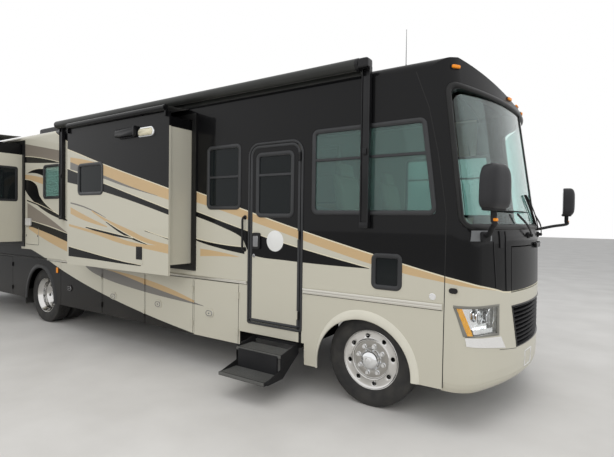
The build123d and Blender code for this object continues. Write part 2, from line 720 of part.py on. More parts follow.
def make_floor():
    """Floor slab with its notch for the entry stairs, and the stairs between their side plates."""
    reach = HALF_WIDTH - WALL - SEAT_GAP
    slab = block(REAR_SEAM_X + 5, place(700), -reach, reach, FLOOR_BOTTOM + SEAT_GAP, FLOOR_TOP)
    rear, front, foot, _ = DOOR_FRAME
    well_rear, well_front = rear + DOOR_FRAME_WIDTH + 8, front - DOOR_FRAME_WIDTH - 8
    inner, sheet = STAIR_INNER, STAIR_SHEET
    notch = sheet + SEAT_GAP
    slab = slab.cut(side_block(RIGHT, place(well_rear) - notch, place(well_front) + notch, inner - notch,
                               reach + 50, FLOOR_BOTTOM - 10, FLOOR_TOP + 10))
    rise = (FLOOR_TOP - foot - sheet) / 3
    run = (reach - inner) / 3
    stairs = []
    for step in range(3):
        tread = foot + sheet + step * rise
        outer = reach - step * run
        stairs.append(side_block(RIGHT, place(well_rear), place(well_front), outer - run - sheet, outer,
                                 tread - sheet, tread))
        stairs.append(side_block(RIGHT, place(well_rear), place(well_front), outer - run - sheet, outer - run,
                                 tread - sheet, tread + rise))
    for x0 in (well_rear - sheet, well_front):
        stairs.append(side_block(RIGHT, place(x0), place(x0 + sheet), inner - sheet, reach, foot, FLOOR_TOP))
    return gathered([slab, fused(stairs)])


def bay_groups(side):
    """Runs of baggage doors that stand edge to edge, as lists of their places along X."""
    edges = sorted({x for _, row_side, rear, front in BAY_DOORS if row_side == side for x in (rear, front)})
    doors = {(rear, front) for _, row_side, rear, front in BAY_DOORS if row_side == side}
    groups, current = [], [edges[0]]
    for before, after in zip(edges, edges[1:]):
        if (before, after) in doors:
            current.append(after)
        else:
            groups.append(current)
            current = [after]
    groups.append(current)
    return groups


def make_baggage_bays():
    bays = []
    outer = HALF_WIDTH - SKIRT - MOVING_GAP
    inner = outer - BAY_DEPTH
    for side in (RIGHT, LEFT):
        for places in bay_groups(side):
            x0, x1 = place(places[0]), place(places[-1])
            foot = BAY_FOOT + BAY_SHEET
            bays.append(side_block(side, x0, x1, inner, outer, BAY_FOOT, foot))
            bays.append(side_block(side, x0, x1, inner, inner + BAY_SHEET, foot, RAIL_TOP))
            for x in places:
                low = max(place(x) - BAY_SHEET / 2, x0)
                high = min(place(x) + BAY_SHEET / 2, x1)
                bays.append(side_block(side, low, high, inner + BAY_SHEET, outer, foot, RAIL_TOP))
    return gathered(bays)


def make_skirts():
    """Side skirts below the floor, open at the arches, the entry steps and the baggage doors."""
    panels = []
    for side in (RIGHT, LEFT):
        outline = [(REAR_SEAM_X - FRONT_AXLE_X, SKIRT_BOTTOM), (900, SKIRT_BOTTOM), (900, FLOOR_BOTTOM),
                   (REAR_SEAM_X - FRONT_AXLE_X, FLOOR_BOTTOM)]
        panel = side_prism(side, outline, HALF_WIDTH - SKIRT, HALF_WIDTH).cut(ahead_of_seam())
        cutters = [arch_prism(side, arch, HALF_WIDTH - 100, HALF_WIDTH + 100) for arch in (FRONT_ARCH, REAR_ARCH)]
        for _, row_side, rear, front in BAY_DOORS:
            if row_side == side:
                cutters.append(side_prism(side, rectangle(rear + BAY_MULLION, front - BAY_MULLION,
                                                          SKIRT_BOTTOM - 20, BAY_DOOR_HEAD),
                                          HALF_WIDTH - 100, HALF_WIDTH + 100))
        if side == RIGHT:
            cutters.append(door_prism(DOOR_FRAME_WIDTH, HALF_WIDTH - 100, HALF_WIDTH + 100))
            cutters.append(side_prism(side, rectangle(STEP_RECESS[0], STEP_RECESS[1], SKIRT_BOTTOM - 20,
                                                      STEP_RECESS[2]), HALF_WIDTH - 100, HALF_WIDTH + 100))
        panel = panel.cut(*cutters)
        pins = []
        for _, row_side, rear, front in BAY_DOORS:
            if row_side == side:
                pins += [bay_hinge_pin(side, front, z) for z in BAY_HINGES]
        panels.append(fused([panel] + pins))
    return gathered(panels)


def bay_hinge_pin(side, front, z):
    """A fixed pin between two lugs that stand on the mullion ahead of a baggage door."""
    x = place(front - BAY_MULLION)
    reach = HALF_WIDTH + BAY_PIN_OUT
    half = KNUCKLE_LENGTH / 2
    pieces = [rod((x, side * reach, z - half - 8), (x, side * reach, z + half + 8), PIN_RADIUS)]
    for low in (z - half - 8, z + half + 1):
        pieces.append(rod((x, side * reach, low), (x, side * reach, low + 7), 6))
        pieces.append(side_block(side, x, x + 9, HALF_WIDTH - 5, reach + 6, low, low + 7))
    return fused(pieces)


def make_bay_door(side, rear, front):
    """A baggage door with its hinge knuckles on the forward edge and a latch near the other."""
    x0, x1 = rear + BAY_MULLION + DOOR_GAP, front - BAY_MULLION - DOOR_GAP
    leaf = side_prism(side, rectangle(x0, x1, SKIRT_BOTTOM, BAY_DOOR_HEAD - DOOR_GAP),
                      HALF_WIDTH - SKIRT, HALF_WIDTH + 1)
    x = place(front - BAY_MULLION)
    reach = HALF_WIDTH + BAY_PIN_OUT
    half = KNUCKLE_LENGTH / 2
    pieces = [leaf]
    for z in BAY_HINGES:
        knuckle = rod((x, side * reach, z - half), (x, side * reach, z + half), KNUCKLE_RADIUS)
        strap = side_block(side, x - 60, x, HALF_WIDTH - 2, reach - PIN_RADIUS - 1, z - half, z + half)
        bore = rod((x, side * reach, z - half - 1), (x, side * reach, z + half + 1), PIN_RADIUS + SEAT_GAP)
        pieces.append(knuckle.fuse(strap).cut(bore))
    latch_x = place(rear + BAY_LATCH_IN)
    latch = side_block(side, latch_x - 45, latch_x + 45, HALF_WIDTH - 5, HALF_WIDTH + 9, *BAY_LATCH_ENDS)
    pieces.append(latch)
    return fused(pieces)


def make_door_frame():
    """The entry door's clamp ring on the wall, with the fixed pins of the door's hinges."""
    ring = door_prism(0, HALF_WIDTH, HALF_WIDTH + 8)
    ring = ring.cut(door_prism(DOOR_FRAME_WIDTH, HALF_WIDTH - 5, HALF_WIDTH + 20))
    x = place(DOOR_FRAME[1] - DOOR_FRAME_WIDTH)
    reach = HALF_WIDTH + HINGE_STANDOFF
    half = DOOR_KNUCKLE / 2
    pieces = [ring]
    for z in DOOR_HINGES:
        pieces.append(rod((x, RIGHT * reach, z - half - 12), (x, RIGHT * reach, z + half + 12), DOOR_PIN_RADIUS))
        for low in (z - half - 12, z + half + 2):
            pieces.append(rod((x, RIGHT * reach, low), (x, RIGHT * reach, low + 10), 8))
            pieces.append(side_block(RIGHT, x, x + 16, HALF_WIDTH + 2, reach + 8, low, low + 10))
    return fused(pieces)


def make_entry_door():
    leaf = door_prism(DOOR_FRAME_WIDTH + DOOR_GAP, HALF_WIDTH - DOOR_LEAF, HALF_WIDTH + 4)
    rear, front, foot, head = DOOR_WINDOW
    corners = rectangle(rear, front, foot, head)
    leaf = leaf.cut(side_prism(RIGHT, corners, HALF_WIDTH - 100, HALF_WIDTH + 60, WINDOW_CORNER))
    x = place(DOOR_FRAME[1] - DOOR_FRAME_WIDTH)
    reach = HALF_WIDTH + HINGE_STANDOFF
    half = DOOR_KNUCKLE / 2
    pieces = [leaf]
    for z in DOOR_HINGES:
        knuckle = rod((x, RIGHT * reach, z - half), (x, RIGHT * reach, z + half), DOOR_KNUCKLE_RADIUS)
        strap = side_block(RIGHT, x - 45, x, HALF_WIDTH + 2, reach - DOOR_PIN_RADIUS - 2, z - half, z + half)
        bore = rod((x, RIGHT * reach, z - half - 1), (x, RIGHT * reach, z + half + 1), DOOR_PIN_RADIUS + SEAT_GAP)
        pieces.append(knuckle.fuse(strap).cut(bore))
    rear, front, foot, head = DOOR_HANDLE
    handle = side_block(RIGHT, place(rear), place(front), HALF_WIDTH, HALF_WIDTH + 22, foot, head)
    pieces.append(handle)
    return fused(pieces)


def make_door_window():
    rear, front, foot, head = DOOR_WINDOW
    return window_unit(RIGHT, rectangle(rear, front, foot, head), HALF_WIDTH + 4, DOOR_LEAF)


def make_wall_windows():
    units = []
    for side, rear, front, front_head, foot, head in WALL_WINDOWS:
        corners = [(rear, foot), (front, foot), (front_head, head), (rear, head)]
        units.append(window_unit(side, corners, HALF_WIDTH, WALL))
    return Compound(units)


def slide_window_rows(name):
    return [(rear, front, foot, head) for room, rear, front, foot, head in SLIDE_WINDOWS if room == name]


def end_window_outline():
    low, high, foot, head = END_WINDOW
    return low + HALF_WIDTH, high + HALF_WIDTH, foot, head


def end_prism(side, x0, x1, amount, radius):
    """A window outline in an end wall, which lies across the vehicle."""
    low, high, foot, head = end_window_outline()
    corners = [Vector(x0, side * (low + amount), foot + amount), Vector(x0, side * (high - amount), foot + amount),
               Vector(x0, side * (high - amount), head - amount), Vector(x0, side * (low + amount), head - amount)]
    face = Face(Wire.make_polygon(corners))
    face = face.fillet_2d(radius, face.vertices())
    return Solid.extrude(face, Vector(x1 - x0, 0, 0))


def make_slide(row):
    """A slide-out room: a box open to the cabin, with a lapping outer face and a topper roller."""
    name, side, rear, front, foot, head, face_foot, face_head, depth = row
    outer = HALF_WIDTH + depth
    inner = HALF_WIDTH - WALL - 40
    room = side_prism(side, rectangle(rear, front, foot, head), inner, outer - SLIDE_FACE)
    hollow = side_prism(side, inset(rectangle(rear, front, foot, head), SLIDE_SHELL),
                        inner - 10, outer - WALL)
    lap = SLIDE_FACE_LAP
    face = side_prism(side, rectangle(rear - lap, front + lap, face_foot, face_head), outer - SLIDE_FACE, outer)
    cutters = [side_prism(side, rectangle(*window), outer - 2 * WALL, outer + WALL, WINDOW_CORNER)
               for window in slide_window_rows(name)]
    if name == "right_rear_slide":
        cutters += [end_prism(side, place(front) - 60, place(front) + 60, 0, WINDOW_CORNER),
                    end_prism(side, place(rear) - 60, place(rear) + 60, 0, WINDOW_CORNER)]
    shell = room.cut(hollow).fuse(face)
    if cutters:
        shell = shell.cut(*cutters)
    z = face_head + TOPPER_RADIUS
    reach = outer + TOPPER_OUT
    roller = rod((place(rear) + 20, side * reach, z), (place(front) - 20, side * reach, z), TOPPER_RADIUS)
    brackets = [side_block(side, place(x), place(x) + 20, outer - 6, reach + 14, face_head - 60, z)
                for x in (rear + 8, front - 28)]
    return fused([shell, roller] + brackets)


def make_slide_windows(row):
    name, side, rear, front, foot, head, _, _, depth = row
    outer = HALF_WIDTH + depth
    units = [window_unit(side, rectangle(*window), outer, WALL) for window in slide_window_rows(name)]
    if name == "right_rear_slide":
        for x, out in ((front, 1), (rear, -1)):
            x = place(x)
            deep, shallow = x - out * (SLIDE_SHELL - 2), x + out * WINDOW_PROUD
            unit = end_prism(side, deep, shallow, SEAT_GAP, WINDOW_CORNER)
            recess = end_prism(side, x - out * 6, x + out * 20, WINDOW_FRAME, WINDOW_CORNER * 0.6)
            back = end_prism(side, x - out * (6 + PANE), x - out * 60, WINDOW_FRAME, WINDOW_CORNER * 0.6)
            units.append(unit.cut(recess, back))
    return Compound(units) if len(units) > 1 else units[0]


def make_seals():
    """Black seal frames on the walls round the slide-out rooms."""
    rings = []
    for row in SLIDES:
        side = row[1]
        opening = slide_opening(row)
        outer = inset(opening, -SEAL_WIDTH)
        lowest = ROOF_SPRING_Z - 8
        outer = [(x, min(z, lowest)) for x, z in outer]
        ring = side_prism(side, outer, HALF_WIDTH, HALF_WIDTH + SEAL_THICKNESS)
        ring = ring.cut(side_prism(side, opening, HALF_WIDTH - 5, HALF_WIDTH + SEAL_THICKNESS + 5))
        foot = row[4]
        sill = side_prism(side, rectangle(row[2] + 100, row[3] - 100, foot - SLIDE_OPENING_GAP, foot - SEAT_GAP),
                          HALF_WIDTH - WALL, HALF_WIDTH + SEAL_THICKNESS)
        rings.append(ring.fuse(sill))
    return Compound(rings)


def make_topper_fabric():
    """Thin covers from the roof's edge to the rollers on the rooms."""
    sheets = []
    for row in SLIDES:
        _, side, rear, front, _, _, _, face_head, depth = row
        low = face_head + 2 * TOPPER_RADIUS
        inner_z = low + 25
        reach = HALF_WIDTH + depth + TOPPER_OUT
        points = [Vector(place(rear) + 60, side * (HALF_WIDTH + SEAT_GAP), inner_z),
                  Vector(place(rear) + 60, side * (HALF_WIDTH + SEAT_GAP), inner_z + TOPPER_FABRIC),
                  Vector(place(rear) + 60, side * reach, low + SEAT_GAP + TOPPER_FABRIC),
                  Vector(place(rear) + 60, side * reach, low + SEAT_GAP)]
        sheets.append(Solid.extrude(Face(Wire.make_polygon(points)), Vector(front - rear - 120, 0, 0)))
    return Compound(sheets)


def make_awning():
    """Rolled patio awning at the roof's edge with its two upright arms on the wall."""
    rear, front, z = AWNING
    reach = HALF_WIDTH + AWNING_RADIUS + 6
    pieces = [rod((place(rear), RIGHT * reach, z), (place(front), RIGHT * reach, z), AWNING_RADIUS)]
    for x, foot in AWNING_ARMS:
        x0, x1 = place(x - AWNING_ARM_HALF), place(x + AWNING_ARM_HALF)
        pieces.append(side_block(RIGHT, x0, x1, HALF_WIDTH + 8, HALF_WIDTH + 62, foot, z + 40))
        for low, high in ((foot + 20, foot + 70), (3080, 3150)):
            pieces.append(side_block(RIGHT, x0 + 20, x1 - 20, HALF_WIDTH, HALF_WIDTH + 10, low, high))
    pieces.append(side_block(RIGHT, place(front - 10), place(AWNING_ARM_HALF), HALF_WIDTH + 10, reach + 40,
                             z - 45, z + 45))
    return fused(pieces)


def arch_flare(side, arch):
    """The raised rim round a wheel arch, from the skirt's foot over the top."""
    flare = arch_prism(side, arch, HALF_WIDTH, HALF_WIDTH + FLARE_PROUD, FLARE_WIDTH)
    flare = flare.cut(arch_prism(side, arch, HALF_WIDTH - 10, HALF_WIDTH + 60, 0))
    keep = side_block(side, place(-9000), place(2000), HALF_WIDTH - 5, HALF_WIDTH + 60, SKIRT_BOTTOM, 1300)
    return common(flare, keep)


def make_trim():
    """Rub rails, arch flares, the grab handle, small hatches and the mud flaps."""
    pieces = []
    for side in (RIGHT, LEFT):
        stretches = [(REAR_SEAM_X - FRONT_AXLE_X + 5, 745)]
        if side == RIGHT:
            stretches = [(REAR_SEAM_X - FRONT_AXLE_X + 5, DOOR_FRAME[0] - 4), (DOOR_FRAME[1] + 4, 745)]
        for x0, x1 in stretches:
            pieces.append(side_block(side, place(x0), place(x1), HALF_WIDTH, HALF_WIDTH + 12,
                                     BAY_DOOR_HEAD + 9, BAY_DOOR_HEAD + 35))
        pieces += [arch_flare(side, arch) for arch in (FRONT_ARCH, REAR_ARCH)]
        rear, front, low, high, foot = MUD_FLAP
        pieces.append(side_block(side, place(rear), place(front), low, high, foot, RAIL_TOP))
    for row in WALL_HATCHES:
        pieces.append(face_plate(row, HALF_WIDTH))
    x, foot, head, standoff, radius = GRAB_HANDLE
    reach = HALF_WIDTH + standoff
    bar = rod((place(x), RIGHT * reach, foot), (place(x), RIGHT * reach, head), radius)
    ends = [rod((place(x), RIGHT * HALF_WIDTH, z), (place(x), RIGHT * reach, z), radius - 3)
            for z in (foot + 20, head - 20)]
    pieces.append(fused([bar] + ends))
    return gathered(pieces)


def face_plate(row, plane):
    """A raised plate with rounded corners on a right-hand wall."""
    rear, front, foot, head, proud = row
    return side_prism(RIGHT, rectangle(rear, front, foot, head), plane, plane + proud, HATCH_CORNER)


def make_room_fittings():
    """The vent hood, the porch lamp and the lower hatch on the right front room's outer face."""
    _, _, _, _, _, _, _, _, depth = slide_row("right_front_slide")
    plane = HALF_WIDTH + depth
    rear, front, foot, head, proud = ROOM_VENT
    hood = [(plane, foot), (plane + proud, foot), (plane + proud, foot + 18), (plane, head)]
    vent = side_prism_at(RIGHT, place(rear), front - rear, hood)
    rear, front, foot, head, proud = ROOM_LAMP
    lamp = side_prism(RIGHT, rectangle(rear, front, foot, head), plane, plane + proud, (head - foot) / 2 - 1)
    return gathered([vent, lamp, face_plate(ROOM_HATCH, plane)])


def make_wheel_wells():
    """Plain sheets round each wheel, over the tyre and behind it, that close the arches from inside."""
    sheets = []
    for side in (RIGHT, LEFT):
        for arch, inner in zip((FRONT_ARCH, REAR_ARCH), WELL_INNER):
            centre, half, top = arch
            half, top = half + WELL_GROW, top + WELL_GROW / 2
            outer = HALF_WIDTH - SKIRT - SEAT_GAP
            line = [(-half, WELL_FOOT), (-half, top - WELL_SHOULDER), (-half * 0.62, top), (half * 0.62, top),
                    (half, top - WELL_SHOULDER), (half, WELL_FOOT)]
            for (xa, za), (xb, zb) in zip(line, line[1:]):
                length = math.hypot(xb - xa, zb - za)
                nx, nz = -(zb - za) / length * WELL_SHEET, (xb - xa) / length * WELL_SHEET
                sheet = [(centre + xa, za), (centre + xb, zb), (centre + xb + nx, zb + nz),
                         (centre + xa + nx, za + nz)]
                sheets.append(side_prism(side, sheet, inner, outer))
            wall = [(centre + x * (1 + WELL_SHEET / half), max(z + WELL_SHEET, WELL_WALL_FOOT)) for x, z in line]
            sheets.append(side_prism(side, wall, inner - WELL_SHEET, inner))
    return gathered(sheets)


def make_headlamp(side):
    """A headlamp housing with two round lamps and an upright turn strip along its slanted edge."""
    opening = headlamp_cutter(side, SEAT_GAP)
    housing = common(nose_form(HEADLAMP_SET_BACK).cut(nose_form(CAP_SHELL + 20)), opening)
    rear_head, rear_foot, head, foot, inner = HEADLAMP
    strip = side_prism(side, [(rear_foot, foot + SEAT_GAP), (rear_foot + TURN_STRIP, foot + SEAT_GAP),
                              (rear_head + TURN_STRIP, head - SEAT_GAP), (rear_head, head - SEAT_GAP)],
                       inner, BODY_WIDTH)
    turn = common(common(nose_form(3).cut(nose_form(CAP_SHELL)), opening), strip)
    pieces = [housing, turn]
    for reach, radius in ROUND_LAMPS:
        z = (head + foot) / 2
        bowl = rod((place(900), side * reach, z), (place(1400), side * reach, z), radius)
        lens = rod((place(900), side * reach, z), (place(1400), side * reach, z), radius - 9)
        pieces.append(common(nose_form(8).cut(nose_form(CAP_SHELL)), bowl).cut(lens.cut(nose_form(16))))
    return fused(pieces)


def make_lamps():
    """Headlamps, tail lamps, the row of clearance lamps on both brows and two side markers."""
    pieces = []
    for side in (RIGHT, LEFT):
        pieces.append(make_headlamp(side))
        pieces.append(tail_lamp(side, SEAT_GAP))
        x, z, radius, proud = SIDE_MARKER
        pieces.append(rod((place(x), side * HALF_WIDTH, z), (place(x), side * (HALF_WIDTH + proud), z), radius))
    cover = nose_form(-CLEARANCE_PROUD).cut(nose_form(-SEAT_GAP))
    for y in CLEARANCE_Y:
        y0, y1 = y - CLEARANCE_HALF, y + CLEARANCE_HALF
        pieces.append(common(cover, block(place(700), place(1100), y0, y1, *CLEARANCE_FRONT)))
        pieces.append(block(REAR_FACE_X - CLEARANCE_PROUD, REAR_FACE_X, y0, y1, *CLEARANCE_REAR))
    return gathered(pieces)


def make_mirrors():
    """Two mirror heads with rounded shells, each on a bent arm from under the windshield."""
    pieces = []
    depth, width, height = MIRROR_SIZE
    reach, middle = MIRROR_MIDDLE
    root_x, root_reach, root_z = MIRROR_ROOT
    for side, x, toe in MIRRORS:
        head = Box(depth, width, height)
        head = head.fillet(42, head.edges().filter_by(Axis.Z))
        head = head.fillet(28, [edge for edge in head.edges() if abs(edge.center().Z) > height / 2 - 1])
        head = Pos(place(x), side * reach, middle) * (Rot(0, 0, side * toe) * head)
        root = (place(root_x), side * root_reach, root_z)
        elbow = (place(x), side * reach, middle - height / 2 - 120)
        arm = fused([rod(root, elbow, MIRROR_ARM), Pos(*elbow) * Sphere(MIRROR_ARM),
                     rod(elbow, (elbow[0], elbow[1], middle - height / 2 + 30), MIRROR_ARM)])
        arm = arm.cut(nose_form(-SEAT_GAP))
        pieces.append(head.fuse(*[solid for solid in arm.solids() if solid.volume > 1000]))
    return gathered(pieces)


def make_dashboard():
    """Dashboard across the cab, with the steering column and wheel on the left."""
    reach = HALF_WIDTH - CAP_SHELL - DESK_GAP
    desk = Solid.extrude(Face(Wire.make_polygon([Vector(place(x), -reach, z) for x, z in DESK])),
                         Vector(0, 2 * reach, 0))
    x, y, z = STEERING
    column = rod((place(x + 295), y, z - 155), (place(x + 3), y, z - 2), 30)
    ring = Pos(place(x), y, z) * (Rot(0, STEERING_TILT, 0) * Torus(STEERING_RADIUS, 16))
    spokes = Pos(place(x), y, z) * (Rot(0, STEERING_TILT, 0) * Box(40, 2 * STEERING_RADIUS - 20, 14))
    return fused([desk, column, ring, spokes])


def make_seats():
    """Two cab seats: pedestal, cushion, raked back and two armrests each."""
    seats = []
    for y in SEAT_SIDES:
        x = place(SEAT_PLACE)
        base = block(x - 230, x + 210, y - 200, y + 200, FLOOR_TOP, 1500)
        cushion = block(x - 270, x + 270, y - 270, y + 270, 1490, 1640)
        cushion = cushion.fillet(45, cushion.edges())
        back = Pos(x - 270, y, 2010) * (Rot(0, -10, 0) * Box(140, 520, 860))
        back = back.fillet(50, back.edges())
        arms = [block(x - 210, x + 170, y + sign * 265 - 35, y + sign * 265 + 35, 1730, 1790) for sign in (-1, 1)]
        posts = [block(x - 210, x - 150, y + sign * 250 - 20, y + sign * 250 + 20, 1560, 1740) for sign in (-1, 1)]
        seats.append(fused([base, cushion, back] + arms + posts))
    return gathered(seats)


def make_roof_equipment():
    """Two roof air conditioners, two vents and a short aerial, each seated on the crown."""
    under = body_bar(-SEAT_GAP, place(-9500), place(700), 3000)
    pieces = []
    for rear in AIR_CONDITIONERS:
        levels = [Pos(place(rear + middle), 0, z) * Rectangle(length, width)
                  for length, width, z, middle in AIR_CONDITIONER]
        pieces.append(loft(levels, ruled=True).cut(under))
    size, head = ROOF_VENT
    for x in ROOF_VENTS:
        vent = block(place(x) - size / 2, place(x) + size / 2, -size / 2, size / 2, 3290, head)
        vent = vent.fillet(25, [edge for edge in vent.edges() if edge.center().Z > head - 5])
        pieces.append(vent.cut(under))
    x, y, head = AERIAL
    x = place(x)
    pieces.append(rod((x, y, 3200), (x, y, head), 6).fuse(rod((x, y, 3200), (x, y, 3310), 30)).cut(under))
    return gathered([solid for piece in pieces for solid in piece.solids() if solid.volume > 1000])


def make_ladder():
    """Rear ladder: two rails with rungs, held off the rear wall by stand-offs."""
    low, high = LADDER_ENDS
    x = REAR_FACE_X - LADDER_REACH + LADDER_TUBE
    pieces = []
    for y in LADDER_Y:
        pieces.append(rod((x, y, low), (x, y, high), LADDER_TUBE))
        for z in LADDER_STANDOFFS:
            pieces.append(rod((x, y, z), (REAR_FACE_X - SEAT_GAP, y, z), LADDER_TUBE - 3))
    for index in range(LADDER_RUNGS):
        z = LADDER_STANDOFFS[0] + index * LADDER_PITCH
        pieces.append(rod((x, LADDER_Y[0], z), (x, LADDER_Y[1], z), LADDER_TUBE - 2))
    return fused(pieces)


def channel(side, x0, x1):
    """A frame rail: a channel whose open side faces the middle of the vehicle."""
    outer, inner = RAIL_OUTER_Y, RAIL_OUTER_Y - RAIL_WIDTH
    foot = RAIL_TOP - RAIL_DEPTH
    rail = side_block(side, x0, x1, inner, outer, foot, RAIL_TOP)
    return rail.cut(side_block(side, x0 - 1, x1 + 1, inner - 1, outer - RAIL_WALL, foot + RAIL_WALL,
                               RAIL_TOP - RAIL_WALL))


def make_chassis():
    """Two frame rails with cross tubes between them, and the runners of the entry step."""
    x0, x1 = REAR_FACE_X + 110, place(RAIL_FRONT)
    pieces = [channel(side, x0, x1) for side in (RIGHT, LEFT)]
    reach = RAIL_OUTER_Y - RAIL_WALL
    for x in CROSS_PLACES:
        pieces.append(block(place(x) - 30, place(x) + 30, -reach, reach, 870, 930))
    for x in (STEP_REAR, STEP_FRONT):
        sign = -1 if x == STEP_REAR else 1
        near = place(x) + sign * SEAT_GAP
        far = near + sign * 24
        low = STEP_TREADS[0][2] + 15
        runner = side_block(RIGHT, near, far, RAIL_OUTER_Y, 1240, low, low + 60)
        hanger = side_block(RIGHT, near, far, RAIL_OUTER_Y, 560, low, RAIL_TOP - 40)
        pieces.append(runner.fuse(hanger))
    return gathered(pieces)


def make_floor_beams():
    """Tubes that lie across the frame rails and carry the floor and the skirts."""
    beams = []
    reach = HALF_WIDTH - SKIRT - SEAT_GAP
    for x in BEAM_PLACES:
        half = BEAM_WIDTH / 2
        reach_here = SHORT_BEAM if x > 900 else reach
        beams.append(block(place(x) - half, place(x) + half, -reach_here, reach_here,
                           RAIL_TOP + SEAT_GAP, FLOOR_BOTTOM))
    return gathered(beams)


def make_receiver():
    """Square hitch receiver with its pin hole, on a cross tube hung from both rails."""
    rear_x = REAR_FACE_X - BUMPER_PROUD - 25
    half, bore_half = RECEIVER_OUTER / 2, RECEIVER_INNER / 2
    tube = block(rear_x, rear_x + RECEIVER_LENGTH, -half, half, RECEIVER_Z - half, RECEIVER_Z + half)
    bore = block(rear_x - 5, rear_x + RECEIVER_LENGTH + 5, -bore_half, bore_half, RECEIVER_Z - bore_half,
                 RECEIVER_Z + bore_half)
    cross = block(rear_x + 210, rear_x + 270, -RAIL_OUTER_Y - 12, RAIL_OUTER_Y + 12, RECEIVER_Z - 30,
                  RECEIVER_Z + 30)
    hangers = [side_block(side, rear_x + 180, rear_x + 290, RAIL_OUTER_Y + SEAT_GAP, RAIL_OUTER_Y + 12,
                          RECEIVER_Z - 40, RAIL_TOP - 40) for side in (RIGHT, LEFT)]
    pin_x = rear_x + HITCH_PIN_IN
    pin_hole = rod((pin_x, -RECEIVER_OUTER, RECEIVER_Z), (pin_x, RECEIVER_OUTER, RECEIVER_Z), HITCH_PIN_RADIUS)
    return fused([tube, cross] + hangers).cut(bore, pin_hole)


def make_entry_step():
    """Two ribbed treads on side plates with a riser between, as one unit that slides inwards."""
    pieces = []
    x0, x1 = place(STEP_REAR), place(STEP_FRONT)
    for inner, outer, top in STEP_TREADS:
        pieces.append(side_block(RIGHT, x0, x1, inner, outer, top - 32, top))
    upper, lower = STEP_TREADS
    pieces.append(side_block(RIGHT, x0 + 40, x1 - 40, upper[1] - 8, lower[0] + 10, lower[2] - 20, upper[2] - 10))
    for x in (x0, x1 - STEP_PLATE):
        pieces.append(side_prism_at(RIGHT, x, STEP_PLATE, [
            (1235, upper[2] + 60), (1300, upper[2] + 60), (upper[1], upper[2]), (upper[1], lower[2] + 60),
            (lower[1] - 40, lower[2]), (lower[1] - 60, lower[2] - 40), (lower[0] - 40, lower[2] - 40),
            (upper[0] - 60, upper[2] - 40)]))
        pieces.append(side_block(RIGHT, x, x + STEP_PLATE, 1190, 1240, upper[2] + 22, upper[2] + 60))
    pieces.append(side_block(RIGHT, x0, x1, 1190, 1230, upper[2] + 24, upper[2] + 54))
    return fused(pieces)


def side_prism_at(side, x, thickness, points):
    """A plate across the vehicle at x, from (reach, height) points."""
    corners = [Vector(x, side * reach, z) for reach, z in points]
    return Solid.extrude(Face(Wire.make_polygon(corners)), Vector(thickness, 0, 0))


def spring_pack(side, centre, half, reach, width):
    """A leaf spring: a shallow bow with its two hanger brackets on the frame rail."""
    x = place(centre)
    eye_z, bow, leaf = SPRING_LEAF
    y = side * reach
    edges = [
        Edge.make_three_point_arc(Vector(x - half, y, eye_z), Vector(x, y, eye_z - bow),
                                  Vector(x + half, y, eye_z)),
        Edge.make_line(Vector(x + half, y, eye_z), Vector(x + half, y, eye_z - leaf / 2)),
        Edge.make_three_point_arc(Vector(x + half, y, eye_z - leaf / 2), Vector(x, y, eye_z - bow - leaf),
                                  Vector(x - half, y, eye_z - leaf / 2)),
        Edge.make_line(Vector(x - half, y, eye_z - leaf / 2), Vector(x - half, y, eye_z)),
    ]
    leafs = Solid.extrude(Face(Wire(edges)), Vector(0, side * width, 0))
    hangers = [side_block(side, x + sign * half - 35, x + sign * half + 35, RAIL_OUTER_Y + SEAT_GAP, reach + width,
                          eye_z - 35, eye_z + 130) for sign in (-1, 1)]
    return fused([leafs] + hangers)


def make_front_axle():
    """Dropped beam between the kingpins, with its two springs on top."""
    x, z = place(0), TYRE_RADIUS
    outline = AXLE_BEAM + [(-y, height) for y, height in reversed(AXLE_BEAM)]
    corners = [Vector(x - BEAM_HALF, y, z + height) for y, height in outline]
    pieces = [Solid.extrude(Face(Wire.make_polygon(corners)), Vector(2 * BEAM_HALF, 0, 0))]
    half, reach, width = FRONT_SPRING
    bores = []
    for side in (RIGHT, LEFT):
        y = side * KINGPIN_Y
        pieces.append(rod((x, y, z - 38), (x, y, z + 38), 40))
        pieces.append(side_block(side, x - 60, x + 60, reach, reach + width, z - 90, 505))
        pieces.append(spring_pack(side, 0, half, reach, width))
        bores.append(rod((x, y, z - 80), (x, y, z + 80), KINGPIN_RADIUS + SEAT_GAP))
    return fused(pieces).cut(*bores)


def make_knuckle(side):
    """Steering knuckle: kingpin between two lugs, spindle and brake plate, facing outwards."""
    x, y, z = place(0), side * KINGPIN_Y, TYRE_RADIUS
    half = KNUCKLE_HALF
    pieces = [rod((x, y, z - half), (x, y, z + half), KINGPIN_RADIUS)]
    for low in (z - half, z + half - LUG_THICKNESS):
        pieces.append(rod((x, y, low), (x, y, low + LUG_THICKNESS), LUG_RADIUS))
        pieces.append(side_block(side, x - 34, x + 34, KINGPIN_Y, KINGPIN_Y + 90, low, low + LUG_THICKNESS))
    pieces.append(side_block(side, x - 40, x + 40, KINGPIN_Y + 55, KINGPIN_Y + 92, z - half, z + half))
    pieces.append(rod((x, side * (KINGPIN_Y + 90), z), (x, side * (FRONT_TYRE_Y + 80), z), HUB_BORE - SEAT_GAP))
    pieces.append(rod((x, side * (KINGPIN_Y + 80), z), (x, side * (KINGPIN_Y + 96), z), FRONT_BRAKE_PLATE))
    return fused(pieces)


